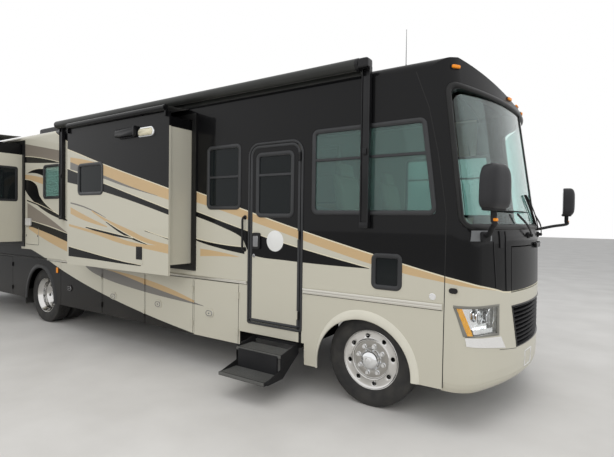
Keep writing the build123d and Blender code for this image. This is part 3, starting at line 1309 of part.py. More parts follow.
def tyre(side, reach):
    """A hollow tyre with rounded shoulders and open bead, standing on the ground."""
    half = TYRE_WIDTH / 2
    outer = [(TYRE_BEAD_RADIUS, half - 20), (TYRE_BEAD_RADIUS + 35, half - 6), (TYRE_BEAD_RADIUS + 90, half),
             (TYRE_RADIUS - 45, half - 8), (TYRE_RADIUS - 14, half - 22), (TYRE_RADIUS, half - 42)]
    inner = [(TYRE_RADIUS - 30, half - 52), (TYRE_BEAD_RADIUS + 90, half - 24), (TYRE_BEAD_RADIUS, half - 40)]
    outline = outer + [(r, -u) for r, u in reversed(outer)] + [(r, -u) for r, u in reversed(inner)] + inner
    return turned([outline], side, reach)


def shifted(points, out, turn=1):
    """Outline points moved along the axle, and turned round if turn is -1."""
    return [(radius, turn * place_out + out) for radius, place_out in points]


def rim_barrel():
    """The rim's well and flanges, as (radius, out) points."""
    half = RIM_WIDTH / 2
    outer = [(RIM_RADIUS + 4, half), (RIM_RADIUS + 4, half - 8), (RIM_RADIUS, half - 18), (RIM_WELL, half - 60)]
    inner = [(RIM_WELL - 12, half - 62), (RIM_RADIUS - 12, half - 22), (RIM_RADIUS - 8, half)]
    return (outer + [(r, -u) for r, u in reversed(outer)] + [(r, -u) for r, u in reversed(inner)] + inner)


def drilled(wheel, side, reach):
    """Hand holes through a wheel's pressed centre."""
    holes = []
    for index in range(HAND_HOLES):
        angle = 2 * math.pi * (index + 0.5) / HAND_HOLES
        x, z = HAND_HOLE_RING * math.cos(angle), TYRE_RADIUS + HAND_HOLE_RING * math.sin(angle)
        start = (x, side * (reach - TWIN_SPACING - RIM_WIDTH), z)
        holes.append(rod(start, (x, side * (reach + RIM_WIDTH), z), HAND_HOLE_RADIUS))
    return wheel.cut(*holes)


def wheel_nuts(side, reach, face_out):
    nuts = []
    for index in range(NUT_COUNT):
        angle = 2 * math.pi * index / NUT_COUNT
        x, z = NUT_CIRCLE / 2 * math.cos(angle), TYRE_RADIUS + NUT_CIRCLE / 2 * math.sin(angle)
        nuts.append(rod((x, side * (reach + face_out - 5), z), (x, side * (reach + face_out + NUT_HEIGHT), z),
                        NUT_RADIUS))
    return nuts


def make_front_wheel(side):
    wheel = turned([rim_barrel(), FRONT_DISC, FRONT_HUB], side, FRONT_TYRE_Y)
    wheel = fused([drilled(wheel, side, FRONT_TYRE_Y)] + wheel_nuts(side, FRONT_TYRE_Y, FRONT_FACE))
    return Pos(place(0), 0, 0) * gathered([wheel, tyre(side, FRONT_TYRE_Y)])


def make_rear_wheels(side):
    """Twin wheels with their tyres: the outer wheel dished in, the inner one turned round."""
    outlines = [rim_barrel(), REAR_DISC, REAR_HUB, shifted(rim_barrel(), -TWIN_SPACING),
                shifted(REAR_DISC, -TWIN_SPACING, -1)]
    wheel = turned(outlines, side, REAR_OUTER_TYRE_Y)
    wheel = fused([drilled(wheel, side, REAR_OUTER_TYRE_Y)] + wheel_nuts(side, REAR_OUTER_TYRE_Y, REAR_FACE))
    tyres = [tyre(side, REAR_OUTER_TYRE_Y), tyre(side, REAR_OUTER_TYRE_Y - TWIN_SPACING)]
    return Pos(place(-WHEELBASE), 0, 0) * gathered([wheel] + tyres)


def make_rear_axle():
    """Driven axle with its differential housing, spindles, brake plates and springs."""
    x, z = place(-WHEELBASE), TYRE_RADIUS
    half, reach, width = REAR_SPRING
    pieces = [Pos(x, 0, z) * Sphere(DIFFERENTIAL)]
    for side in (RIGHT, LEFT):
        pieces.append(rod((x, 0, z), (x, side * 810, z), AXLE_TUBE))
        pieces.append(rod((x, side * 800, z), (x, side * (REAR_OUTER_TYRE_Y - 90), z), HUB_BORE - SEAT_GAP))
        pieces.append(rod((x, side * 640, z), (x, side * 662, z), BRAKE_PLATE))
        pieces.append(side_block(side, x - 60, x + 60, reach, reach + width, z, 510))
        pieces.append(spring_pack(side, -WHEELBASE, half, reach, width))
    return fused(pieces)


def make_engine():
    """Engine as a plain block, gearbox behind it and the propeller shaft to the rear axle."""
    mount_reach = RAIL_OUTER_Y - RAIL_WIDTH - SEAT_GAP
    rear, front, half, foot, head = ENGINE
    engine = block(place(rear), place(front), -half, half, foot, head)
    rear, front, foot, head = ENGINE_MOUNTS
    mounts = block(place(rear), place(front), -mount_reach, mount_reach, foot, head)
    rear, front, half, foot, head = GEARBOX
    gearbox = block(place(rear), place(front), -half, half, foot, head)
    shaft = rod((place(rear + 20), 0, SHAFT_Z), (place(-WHEELBASE + 200), 0, TYRE_RADIUS + 20), SHAFT_RADIUS)
    return fused([engine, mounts, gearbox, shaft])


def make_fuel_tank():
    half = RAIL_OUTER_Y - RAIL_WIDTH - SEAT_GAP
    rear, front, foot, head = FUEL_TANK
    tank = block(place(rear), place(front), -half, half, foot, head)
    return tank.fillet(TANK_ROUND, tank.edges().filter_by(Axis.X))


def make_exhaust():
    """Exhaust pipe from the engine past the rear axle, out behind the left rear wheels."""
    route = [(place(x), y, z) for x, y, z in EXHAUST_ROUTE]
    route[0] = (route[0][0] - SEAT_GAP, *route[0][1:])
    pieces = [rod(start, end, EXHAUST_PIPE) for start, end in zip(route, route[1:])]
    pieces += [Pos(*point) * Sphere(EXHAUST_PIPE) for point in route[1:-1]]
    pieces.append(rod(route[3], route[4], SILENCER))
    return fused(pieces)


def main():
    os.makedirs("parts", exist_ok=True)
    save(make_front_cap(), "front_cap")
    save(make_side_wall(RIGHT), "right_sidewall")
    save(make_side_wall(LEFT), "left_sidewall")
    save(make_roof(), "roof")
    save(make_rear_cap(), "rear_cap")
    save(make_floor(), "floor")
    save(make_baggage_bays(), "baggage_bays")
    save(make_skirts(), "skirt_panels")
    save(make_trim(), "body_trim")
    save(make_windshield(), "windshield")
    save(make_gasket(), "windshield_gasket")
    save(make_grille(), "grille")
    save(make_hood(), "front_hood")
    save(make_room_fittings(), "right_front_slide_fittings")
    save(make_wheel_wells(), "wheel_wells")
    save(make_wall_windows(), "wall_windows")
    save(make_entry_door(), "entry_door")
    save(make_door_window(), "entry_door_window")
    save(make_door_frame(), "entry_door_frame")
    for row in SLIDES:
        save(make_slide(row), row[0])
        save(make_slide_windows(row), row[0] + "_windows")
    save(make_seals(), "slide_seals")
    save(make_topper_fabric(), "slide_topper_fabric")
    save(make_awning(), "patio_awning")
    save(make_entry_step(), "entry_step")
    for name, side, rear, front in BAY_DOORS:
        save(make_bay_door(side, rear, front), name)
    save(make_lamps(), "lamps")
    save(make_mirrors(), "mirrors")
    save(make_dashboard(), "dashboard")
    save(make_seats(), "cab_seats")
    save(make_roof_equipment(), "roof_equipment")
    save(make_ladder(), "rear_ladder")
    save(make_chassis(), "chassis_frame")
    save(make_floor_beams(), "floor_beams")
    save(make_receiver(), "hitch_receiver")
    save(make_front_axle(), "front_axle")
    save(make_rear_axle(), "rear_axle")
    save(make_engine(), "engine_block")
    save(make_fuel_tank(), "fuel_tank")
    save(make_exhaust(), "exhaust")
    for side, word in ((RIGHT, "right"), (LEFT, "left")):
        save(make_knuckle(side), f"{word}_knuckle")
        save(make_front_wheel(side), f"front_{word}_wheel")
        save(make_rear_wheels(side), f"rear_{word}_wheels")


main()
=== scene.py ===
"""A long motorhome with three slide-out rooms, in metres with X forward, Y left and Z up."""
import math

import bmesh
import bpy
from mathutils import Matrix, Vector


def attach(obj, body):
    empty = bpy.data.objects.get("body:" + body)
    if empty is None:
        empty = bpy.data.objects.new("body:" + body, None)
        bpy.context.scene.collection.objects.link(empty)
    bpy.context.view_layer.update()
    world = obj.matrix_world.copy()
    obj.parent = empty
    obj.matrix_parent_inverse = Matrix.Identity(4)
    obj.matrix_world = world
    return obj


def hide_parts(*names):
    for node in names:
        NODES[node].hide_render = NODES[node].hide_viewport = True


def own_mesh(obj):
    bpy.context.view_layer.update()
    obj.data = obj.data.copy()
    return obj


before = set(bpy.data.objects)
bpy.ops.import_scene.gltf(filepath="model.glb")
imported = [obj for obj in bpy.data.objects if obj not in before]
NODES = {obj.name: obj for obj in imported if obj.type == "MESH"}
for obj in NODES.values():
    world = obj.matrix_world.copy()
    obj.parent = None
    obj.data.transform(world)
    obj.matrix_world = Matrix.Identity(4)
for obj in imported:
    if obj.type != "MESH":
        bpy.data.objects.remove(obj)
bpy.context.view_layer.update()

FRONT_AXLE = 4.15
REAR_AXLE = FRONT_AXLE - 6.147
AXLE_HEIGHT = 0.458
WALL_Y = 1.283
REAR_X = -5.580
REAR_BUMPER_X = REAR_X - 0.055
RIGHT, LEFT = -1, 1
DOOR_FACE = WALL_Y + 0.004
BAY_FACE = WALL_Y + 0.001
FRONT_ROOM_FACE = 1.658
LEFT_ROOM_FACE = 2.033
FRONT_TRACK, REAR_TRACK, INNER_TRACK = 1.048, 1.09, 0.80
RAIL_SPLIT = -5.92
ROOF_TOP = 3.325


def place(x):
    """A place counted from the front axle, in the frame."""
    return FRONT_AXLE + x


# Materials


class Tree:
    """Adds nodes to a node tree and joins them."""

    def __init__(self, tree):
        self.tree = tree

    def feed(self, socket, value):
        """Links a socket to another node's output, or sets its value."""
        if isinstance(value, bpy.types.NodeSocket):
            self.tree.links.new(value, socket)
        elif socket.type == "RGBA" and len(value) == 3:
            socket.default_value = (*value, 1)
        else:
            socket.default_value = value

    def add(self, kind, **inputs):
        """A node with its inputs fed by number (i0) or name; a leading underscore sets a property first."""
        node = self.tree.nodes.new(kind)
        for key, value in inputs.items():
            if key.startswith("_"):
                setattr(node, key[1:], value)
            else:
                self.feed(node.inputs[int(key[1:]) if key[1:].isdigit() else key.replace("_", " ")], value)
        return node

    def math(self, operation, *values):
        """The result of a sum on its values."""
        node = self.add("ShaderNodeMath", _operation=operation)
        for socket, value in zip(node.inputs, values):
            self.feed(socket, value)
        return node.outputs[0]


class Nodes(Tree):
    """The shader nodes of a new material."""

    def __init__(self, name):
        self.material = bpy.data.materials.new(name)
        self.material.use_nodes = True
        super().__init__(self.material.node_tree)
        self.shader = self.tree.nodes["Principled BSDF"]

    def below(self, value, level):
        """A mask that holds where a value is under a level."""
        return self.math("LESS_THAN", value, level)

    def above(self, value, level):
        """A mask that holds where a value is over a level."""
        return self.math("GREATER_THAN", value, level)

    def both(self, first, *others):
        """Where every one of the masks holds."""
        for other in others:
            first = self.math("MULTIPLY", first, other)
        return first

    def mix(self, amount, a, b):
        """One colour laid over another by an amount."""
        return self.add("ShaderNodeMix", _data_type="RGBA", i0=amount, i6=a, i7=b).outputs[2]

    def ramp(self, value, *stops):
        """A colour or value that runs from one stop to the next."""
        node = self.add("ShaderNodeValToRGB", i0=value)
        for element, (position, colour) in zip(node.color_ramp.elements, stops):
            element.position = position
            element.color = (*colour, 1) if isinstance(colour, tuple) else (colour, colour, colour, 1)
        return node.outputs[0]

    def object_point(self):
        """The place on the piece, in metres of the frame."""
        return self.tree.nodes.new("ShaderNodeTexCoord").outputs["Object"]

    def noise(self, scale, detail=3):
        """Cloudy noise in the piece's own space."""
        node = self.add("ShaderNodeTexNoise", Vector=self.object_point(), Scale=scale, Detail=detail,
                        Roughness=0.5)
        return node.outputs[0]

    def bump(self, height, strength, distance=0.001):
        """Small relief of the surface."""
        return self.add("ShaderNodeBump", Height=height, Strength=strength, Distance=distance).outputs[0]

    def set(self, **values):
        """Feeds the shader's inputs and gives the material back."""
        for key, value in values.items():
            self.feed(self.shader.inputs[key.replace("_", " ")], value)
        return self.material


CHAMPAGNE = (0.54, 0.515, 0.425)
BLACK = (0.0035, 0.0035, 0.004)
TAN = (0.56, 0.40, 0.22)
TAUPE = (0.23, 0.20, 0.165)
GREY = (0.20, 0.19, 0.175)
CREAM = (0.72, 0.66, 0.50)
ROOF_WHITE = (0.66, 0.65, 0.61)
INSIDE = (0.42, 0.36, 0.28)
CHAMPAGNE_FLAKE = (0.63, 0.605, 0.51)
DUST = (0.30, 0.26, 0.20)
PIN_LINE = 0.010
# Heights and places where the paint changes
SILL, LOW_BODY, REAR_LOW_BODY, REAR_BROW, EAVES = 1.17, 1.24, 1.3, 2.91, 3.2
CAB_END, TAIL_END = 4.55, -5.5

# Painted bands along both sides as (colour, top edge, bottom edge), each edge as (place, height) points
UPPER_BLACK = [(-1.7, 3.3), (-0.9, 2.93), (-0.38, 2.78), (0.53, 2.51), (1.76, 2.175), (3.41, 1.715),
               (4.23, 1.51), (4.89, 1.358), (5.05, 1.326), (5.17, 1.287), (5.26, 1.245), (5.335, 1.206),
               (5.5, 1.214)]
LOWER_BLACK = [(-2.69, 1.32), (-2.03, 1.165), (-1.1, 0.896), (-0.17, 0.684), (0.83, 0.513), (1.8, 0.388)]
BANDS = [
    (TAN, [(-0.38, 2.674), (0.02, 2.612), (0.53, 2.5), (1.76, 2.165), (3.41, 1.705), (4.23, 1.5),
           (4.89, 1.352), (5.17, 1.283), (5.33, 1.21)],
     [(-0.38, 2.608), (0.42, 2.387), (1.12, 2.193), (2.36, 1.893), (3.07, 1.707), (3.81, 1.509), (4.53, 1.35),
      (4.9, 1.30), (5.166, 1.26), (5.264, 1.229), (5.33, 1.2)]),
    (GREY, [(-0.38, 2.608), (0.42, 2.387), (1.12, 2.193), (1.56, 2.09)],
     [(-0.38, 2.498), (0.42, 2.342), (0.87, 2.23), (1.56, 2.085)]),
    (BLACK, [(-0.46, 2.514), (0.39, 2.286), (1.76, 1.924), (2.67, 1.685), (3.22, 1.56), (4.19, 1.372)],
     [(-0.46, 2.32), (0.5, 2.15), (1.76, 1.861), (2.26, 1.726), (2.57, 1.613), (2.75, 1.418), (3.22, 1.386),
      (4.19, 1.368)]),
    (BLACK, [(1.32, 1.666), (1.77, 1.578), (2.23, 1.519), (2.62, 1.5)],
     [(1.32, 1.657), (1.77, 1.566), (1.89, 1.532), (2.23, 1.472), (2.62, 1.423)]),
    (TAN, [(1.9, 1.452), (2.23, 1.428), (2.54, 1.387)], [(1.9, 1.358), (2.26, 1.379), (2.54, 1.383)]),
    (GREY, [(-0.37, 2.03), (0.02, 1.962), (0.5, 1.818)], [(-0.37, 2.01), (0.02, 1.942), (0.5, 1.812)]),
    (TAN, [(-0.37, 1.96), (0.02, 1.841), (0.53, 1.702)], [(-0.37, 1.867), (0.02, 1.767), (0.53, 1.688)]),
    (TAN, [(0.17, 1.916), (0.53, 1.793), (1.03, 1.663), (1.37, 1.568), (1.77, 1.51)],
     [(0.17, 1.895), (0.53, 1.753), (0.97, 1.603), (1.28, 1.527), (1.77, 1.474)]),
    (BLACK, [(0.5, 1.767), (0.97, 1.603), (1.37, 1.497)], [(0.5, 1.756), (0.97, 1.574), (1.37, 1.489)]),
    (BLACK, [(0.02, 1.686), (0.53, 1.627), (1.09, 1.56)], [(0.02, 1.673), (0.53, 1.594), (1.09, 1.549)]),
    (TAN, [(-0.41, 1.717), (0.17, 1.643), (0.7, 1.575), (1.03, 1.518), (1.37, 1.493), (1.77, 1.501)],
     [(-0.41, 1.684), (0.18, 1.6), (0.87, 1.482), (1.37, 1.437), (1.77, 1.402)]),
    (BLACK, [(-0.42, 1.39), (0.03, 1.34), (0.74, 1.267), (1.25, 1.231)],
     [(-0.42, 1.253), (0.18, 1.243), (0.87, 1.225), (1.25, 1.22)]),
    (TAUPE, [(-2.64, 3.112), (-2.04, 3.011), (-1.39, 2.898)],
     [(-2.64, 2.881), (-2.09, 2.824), (-1.39, 2.704)]),
    (BLACK, [(-2.64, 2.881), (-2.09, 2.824), (-1.39, 2.704)],
     [(-2.64, 2.772), (-2.09, 2.735), (-1.39, 2.698)]),
    (BLACK, [(-2.47, 2.579), (-2.22, 2.629), (-1.91, 2.626)],
     [(-2.47, 2.574), (-2.22, 2.568), (-1.91, 2.502)]),
    (TAN, [(-2.63, 2.562), (-2.25, 2.524), (-1.91, 2.471)], [(-2.63, 2.5), (-2.25, 2.431), (-1.91, 2.362)]),
    (BLACK, [(-2.63, 2.472), (-2.17, 2.375), (-2.03, 2.162), (-1.68, 1.951), (-1.11, 1.759)],
     [(-2.63, 2.363), (-2.36, 2.14), (-1.83, 1.9), (-1.11, 1.742)]),
    (BLACK, [(-2.49, 2.112), (-1.93, 1.99), (-1.34, 1.825)],
     [(-2.49, 2.088), (-1.93, 1.966), (-1.34, 1.815)]),
    (TAUPE, [(-2.47, 2.056), (-1.83, 1.835), (-1.15, 1.562)], [(-2.47, 1.75), (-1.83, 1.68), (-1.15, 1.555)]),
    (BLACK, [(-2.69, 1.775), (-2.09, 1.702), (-1.1, 1.539)], [(-2.69, 1.693), (-1.83, 1.551), (-1.1, 1.406)]),
    (TAN, [(-2.41, 1.65), (-1.83, 1.551), (-1.1, 1.406)], [(-2.41, 1.597), (-1.83, 1.422), (-1.1, 1.247)]),
    (GREY, [(-0.62, 1.076), (-0.05, 1.046), (0.84, 0.923), (1.97, 0.753)],
     [(-0.62, 1.057), (-0.29, 0.948), (0.5, 0.839), (1.97, 0.748)]),
    (TAN, [(-0.05, 1.057), (0.84, 0.986), (1.8, 0.801)],
     [(-0.05, 1.05), (0.14, 1.027), (0.84, 0.913), (1.8, 0.772)]),
]


def band_edge(m, x, points):
    """The height of a painted edge at the place x, through a smooth curve."""
    xs = [p[0] for p in points]
    zs = [p[1] for p in points]
    low, high = min(zs) - 0.05, max(zs) + 0.05
    node = m.tree.nodes.new("ShaderNodeFloatCurve")
    curve = node.mapping.curves[0]
    for index, (px, pz) in enumerate(points):
        at = ((px - xs[0]) / (xs[-1] - xs[0]), (pz - low) / (high - low))
        if index == 0:
            curve.points[0].location = at
        elif index == len(points) - 1:
            curve.points[len(curve.points) - 1].location = at
        else:
            curve.points.new(*at)
    node.mapping.update()
    unit = m.add("ShaderNodeMapRange", i0=x, i1=xs[0], i2=xs[-1])
    m.feed(node.inputs["Value"], unit.outputs[0])
    return m.add("ShaderNodeMapRange", _clamp=False, i0=node.outputs[0], i3=low, i4=high).outputs[0]


def band_masks(m, x, z, top, bottom):
    """Where a band lies, and where it lies with the pin line over its top edge."""
    edge = band_edge(m, x, top)
    inside = m.math("COMPARE", x, (top[0][0] + top[-1][0]) / 2, (top[-1][0] - top[0][0]) / 2)
    span = m.both(m.above(z, band_edge(m, x, bottom)), inside)
    return m.both(span, m.below(z, edge)), m.both(span, m.below(z, m.math("ADD", edge, PIN_LINE)))


def coach_paint():
    """Champagne paint with black and tan bands by place and height, under a clear coat."""
    m = Nodes("coach_paint")
    x, y, z = m.add("ShaderNodeSeparateXYZ", i0=m.object_point()).outputs
    facing = m.tree.nodes.new("ShaderNodeTexCoord").outputs["Normal"]
    nx, ny, nz = m.add("ShaderNodeSeparateXYZ", i0=facing).outputs
    away = m.math("ABSOLUTE", y)
    champagne = m.mix(m.math("MULTIPLY", m.noise(900, 1), 0.35), CHAMPAGNE, CHAMPAGNE_FLAKE)
    colour = champagne
    for tint, top, bottom in BANDS:
        band, pinned = band_masks(m, x, z, top, bottom)
        if tint == BLACK:
            colour = m.mix(pinned, colour, CREAM)
        colour = m.mix(band, colour, tint)
    upper = band_edge(m, x, UPPER_BLACK)
    forward = m.above(x, UPPER_BLACK[0][0])
    colour = m.mix(m.both(m.above(z, m.math("SUBTRACT", upper, 0.012)), forward), colour, CREAM)
    colour = m.mix(m.both(m.above(z, upper), forward), colour, BLACK)
    lower = m.both(m.below(z, band_edge(m, x, LOWER_BLACK)), m.below(z, LOW_BODY),
                   m.below(x, LOWER_BLACK[-1][0]))
    colour = m.mix(lower, colour, BLACK)
    colour = m.mix(m.both(m.below(x, LOWER_BLACK[0][0]), m.below(z, REAR_LOW_BODY)), colour, BLACK)
    end_wall = m.both(m.above(m.math("ABSOLUTE", nx), 0.7), m.below(x, 4.6), m.above(z, 1.2))
    colour = m.mix(end_wall, colour, m.mix(m.above(z, REAR_BROW), champagne, BLACK))
    inner = m.both(m.below(away, 1.25), m.below(x, CAB_END), m.below(z, EAVES), m.above(x, TAIL_END),
                   m.above(z, SILL))
    colour = m.mix(inner, colour, INSIDE)
    colour = m.mix(m.both(m.above(nz, 0.96), m.above(z, EAVES)), colour, ROOF_WHITE)
    # Painted shade: below 1.05 m, faces that turn away from the side or lie inside the wall are painted black
    # as the shade in the gaps, in the wheel-opening returns and under the lower body.
    edges = m.both(m.below(m.math("ABSOLUTE", ny), 0.6), m.below(away, 1.2825))
    painted_shade_below = m.both(m.math("MAXIMUM", edges, m.below(away, 1.27)), m.below(z, 1.05), m.below(x, 4.88),
                    m.above(x, TAIL_END))
    colour = m.mix(painted_shade_below, colour, BLACK)
    hinge = m.both(m.math("COMPARE", x, place(-0.748), 0.018), m.below(z, 2.66), m.below(y, -1.25))
    colour = m.mix(hinge, colour, BLACK)
    dust = m.both(m.noise(2.2, 5), m.add("ShaderNodeMapRange", i0=z, i1=1.0, i2=0.35).outputs[0], 0.07)
    return m.set(Base_Color=m.mix(dust, colour, DUST), Roughness=0.38, Specular_IOR_Level=0.1,
                 Coat_Weight=0.3, Coat_Roughness=0.03, Normal=m.bump(m.noise(260, 1), 0.05, 0.0006))


def plastic(name, colour, roughness=0.5, grain=700, strength=0.25, vary=0.12, gloss=0.35):
    """Moulded plastic with a fine grain and a slight change of tone."""
    m = Nodes(name)
    darker = tuple(c * (1 - vary) for c in colour)
    lighter = tuple(min(1, c * (1 + vary) + 0.002) for c in colour)
    return m.set(Base_Color=m.ramp(m.noise(5, 4), (0.3, darker), (0.7, lighter)), Roughness=roughness,
                 Specular_IOR_Level=gloss, Normal=m.bump(m.noise(grain, 2), strength, 0.0008))


def metal(name, colour, roughness=0.15, scratches=180, strength=0.05):
    """Bare or plated metal with faint streaks in its gloss."""
    m = Nodes(name)
    streaks = m.ramp(m.noise(scratches), (0.3, roughness), (0.75, roughness + 0.12))
    return m.set(Base_Color=colour, Metallic=1.0, Roughness=streaks,
                 Normal=m.bump(m.noise(scratches * 3, 2), strength, 0.0004))


def glass(name, tint, transmission, coat=0.55, gloss=0.5):
    """Tinted safety glass with a trace of waviness."""
    m = Nodes(name)
    tone = m.ramp(m.noise(0.8, 1), (0.3, tint), (0.7, tuple(c * 1.15 for c in tint)))
    return m.set(Base_Color=tone, Roughness=0.02, IOR=1.3, Transmission_Weight=transmission, Coat_Weight=coat,
                 Coat_Roughness=0.01, Specular_IOR_Level=gloss, Normal=m.bump(m.noise(3, 1), 0.02, 0.002))


def lens(name, colour, transmission):
    """Moulded lamp lens with fine flutes."""
    m = Nodes(name)
    tone = m.ramp(m.noise(6, 1), (0.2, colour), (0.8, tuple(min(1, c * 1.2) for c in colour)))
    flutes = m.add("ShaderNodeTexWave", Vector=m.object_point(), Scale=60.0).outputs[1]
    return m.set(Base_Color=tone, Roughness=0.12, Transmission_Weight=transmission,
                 Normal=m.bump(flutes, 0.2))


def rubber():
    """Tyre rubber, unevenly dull."""
    m = Nodes("tyre_rubber")
    tone = m.ramp(m.noise(9, 5), (0.3, (0.018, 0.018, 0.018)), (0.75, (0.045, 0.042, 0.038)))
    return m.set(Base_Color=tone, Roughness=0.78, Normal=m.bump(m.noise(420), 0.3, 0.0008))


def fabric(name, colour, scale):
    """Woven cloth with crossing threads."""
    m = Nodes(name)
    x, y, z = m.add("ShaderNodeSeparateXYZ", i0=m.object_point()).outputs
    across = m.math("SINE", m.math("MULTIPLY", x, scale * 6.28))
    along = m.math("SINE", m.math("MULTIPLY", m.math("ADD", y, z), scale * 6.28))
    tone = m.mix(m.noise(14, 4), tuple(c * 0.8 for c in colour), tuple(c * 1.2 for c in colour))
    return m.set(Base_Color=tone, Roughness=0.85, Sheen_Weight=0.25,
                 Normal=m.bump(m.both(across, along), 0.3, 0.0006))


def leather(name, colour):
    """Upholstery leather with pebbled grain."""
    m = Nodes(name)
    cells = m.add("ShaderNodeTexVoronoi", Vector=m.object_point(), Scale=330.0).outputs[0]
    tone = m.mix(m.noise(7, 4), tuple(c * 0.82 for c in colour), tuple(c * 1.12 for c in colour))
    return m.set(Base_Color=tone, Roughness=0.48, Normal=m.bump(cells, 0.35, 0.0008))


PAINT = coach_paint()
BLACK_TRIM = plastic("black_trim", (0.008, 0.008, 0.009), 0.3, 500, 0.12, gloss=0.3)
FRAME_BLACK = plastic("frame_black", (0.024, 0.025, 0.027), 0.3, 500, 0.12, gloss=0.45)
MATT_BLACK = plastic("matt_black", (0.014, 0.014, 0.015), 0.6, gloss=0.25)
CHASSIS = plastic("chassis_paint", (0.009, 0.009, 0.009), 0.6, 160, 0.3, gloss=0.15)
GASKET = plastic("gasket_rubber", (0.009, 0.009, 0.009), 0.4, 600, 0.12, gloss=0.35)
WELL_BLACK = plastic("wheel_well_black", (0.003, 0.003, 0.003), 0.8, 200, 0.3, gloss=0.05)
FLANGE = metal("wheel_flange", (0.40, 0.385, 0.36), 0.28, 120, 0.05)
# Cream of the front flare: lighter than the body paint, partly the flare's own tone and partly a painted
# highlight on the raised flare.
FLARE_CREAM_AND_HIGHLIGHT = plastic("arch_flare_cream_and_highlight", (0.66, 0.635, 0.54), 0.3, 500, 0.08, 0.03)
GRILLE_BLACK = plastic("grille_black", (0.004, 0.004, 0.005), 0.5, 500, 0.2, gloss=0.12)
LAMP_HOUSING = plastic("lamp_housing_grey", (0.20, 0.195, 0.17), 0.35, 400, 0.1)
FLARE_GREY = plastic("arch_flare_grey", (0.022, 0.022, 0.023), 0.4, 420, 0.15, gloss=0.3)
SHROUD = plastic("roof_shroud", (0.03, 0.03, 0.032), 0.5)
DASH = plastic("dash_plastic", (0.05, 0.046, 0.042), 0.65, 350, 0.4)
BLIND = fabric("window_blind", (0.50, 0.56, 0.54), 160)
BRIGHT = metal("bright_wheel", (0.70, 0.69, 0.67), 0.09)
CHROME = metal("chrome", (0.85, 0.86, 0.87), 0.05)
ALUMINIUM = metal("aluminium", (0.62, 0.62, 0.62), 0.25)
STEEL = metal("exhaust_steel", (0.33, 0.31, 0.29), 0.4, 90, 0.2)
IRON = plastic("engine_iron", (0.16, 0.16, 0.165), 0.6, 120, 0.5)
PRIVACY = glass("privacy_glass", (0.012, 0.015, 0.016), 0.25, coat=0.1, gloss=0.2)
PALE_GLASS = glass("pale_glass", (0.50, 0.70, 0.65), 0.9)
TEAL_GLASS = glass("teal_glass", (0.22, 0.37, 0.34), 0.85)
WINDSCREEN = glass("windscreen_glass", (0.56, 0.74, 0.71), 1.0)
CLEAR_LENS = glass("clear_lens", (0.93, 0.95, 0.95), 1.0)
AMBER = lens("amber_lens", (0.90, 0.27, 0.0), 0.08)
TURN_AMBER = lens("turn_amber_lens", (1.0, 0.43, 0.01), 0.05)
RED = lens("red_lens", (0.50, 0.012, 0.008), 0.1)
MIRROR_GLASS = metal("mirror_glass", (0.75, 0.78, 0.8), 0.02)
TYRE = rubber()
TOPPER = fabric("topper_fabric", (0.046, 0.048, 0.043), 300)
SEAT = leather("seat_leather", (0.34, 0.27, 0.19))
FLOORING = plastic("floor_board", (0.10, 0.075, 0.055), 0.5, 40, 0.3, 0.3)
WHITE_PLATE = plastic("blank_plate", (0.75, 0.75, 0.73), 0.35, 300, 0.1, 0.03)
SILL_SILVER = metal("lamp_sill_silver", (0.93, 0.93, 0.93), 0.16, 120, 0.02)
SILVER_PAINT = metal("silver_trim_paint", (0.70, 0.68, 0.62), 0.28, 120, 0.02)
COWL_GREY = plastic("cowl_grey", (0.16, 0.165, 0.17), 0.35, 400, 0.15)
MESH_BLACK = plastic("grille_mesh_black", (0.006, 0.006, 0.006), 0.7, 240, 0.9)
MIRROR_BLACK = plastic("mirror_black", (0.018, 0.018, 0.020), 0.42, 420, 0.35)
AWNING_BLACK = plastic("awning_cover_black", (0.023, 0.024, 0.022), 0.4, 60, 0.2)
DARK_CHROME = metal("dark_chrome", (0.35, 0.35, 0.36), 0.12)
VENT_WHITE = plastic("vent_white", (0.62, 0.61, 0.58), 0.45, 200, 0.15)
BULB = plastic("bulb_glass", (0.80, 0.80, 0.78), 0.1, 60, 0.05, 0.05)
STEP_GREY = plastic("step_tread_grey", (0.10, 0.10, 0.094), 0.55, 260, 0.4)
FROSTED = plastic("frosted_lens", (0.72, 0.67, 0.50), 0.3, 260, 0.2, 0.04)

# The material of each piece that comes with the frame, where it isn't the paint
NODE_MATERIALS = {
    "floor": FLOORING, "baggage_bays": CHASSIS, "windshield": WINDSCREEN, "windshield_gasket": GASKET,
    "grille": BLACK_TRIM, "entry_door_frame": BLACK_TRIM, "slide_seals": GASKET, "patio_awning": BLACK_TRIM,
    "entry_step": MATT_BLACK, "lamps": CLEAR_LENS, "mirrors": MATT_BLACK, "dashboard": DASH,
    "roof_equipment": SHROUD,
    "rear_ladder": ALUMINIUM, "chassis_frame": CHASSIS, "floor_beams": CHASSIS, "hitch_receiver": CHASSIS,
    "front_axle": CHASSIS, "rear_axle": CHASSIS, "engine_block": IRON, "fuel_tank": CHASSIS, "exhaust": STEEL,
    "right_knuckle": CHASSIS, "left_knuckle": CHASSIS, "wall_windows": PRIVACY, "entry_door_window": PRIVACY,
    "right_front_slide_windows": PRIVACY, "right_rear_slide_windows": PRIVACY, "left_slide_windows": PRIVACY,
    "slide_topper_fabric": TOPPER, "cab_seats": SEAT, "wheel_wells": WELL_BLACK,
    "right_front_slide_fittings": BLACK_TRIM,
    "front_right_wheel": BRIGHT, "front_left_wheel": BRIGHT, "rear_right_wheels": BRIGHT,
    "rear_left_wheels": BRIGHT,
}


def dress_nodes():
    """Gives every piece that comes with the frame its own material."""
    for name, node in NODES.items():
        node.data.materials.clear()
        node.data.materials.append(NODE_MATERIALS.get(name, PAINT))


# Mesh helpers


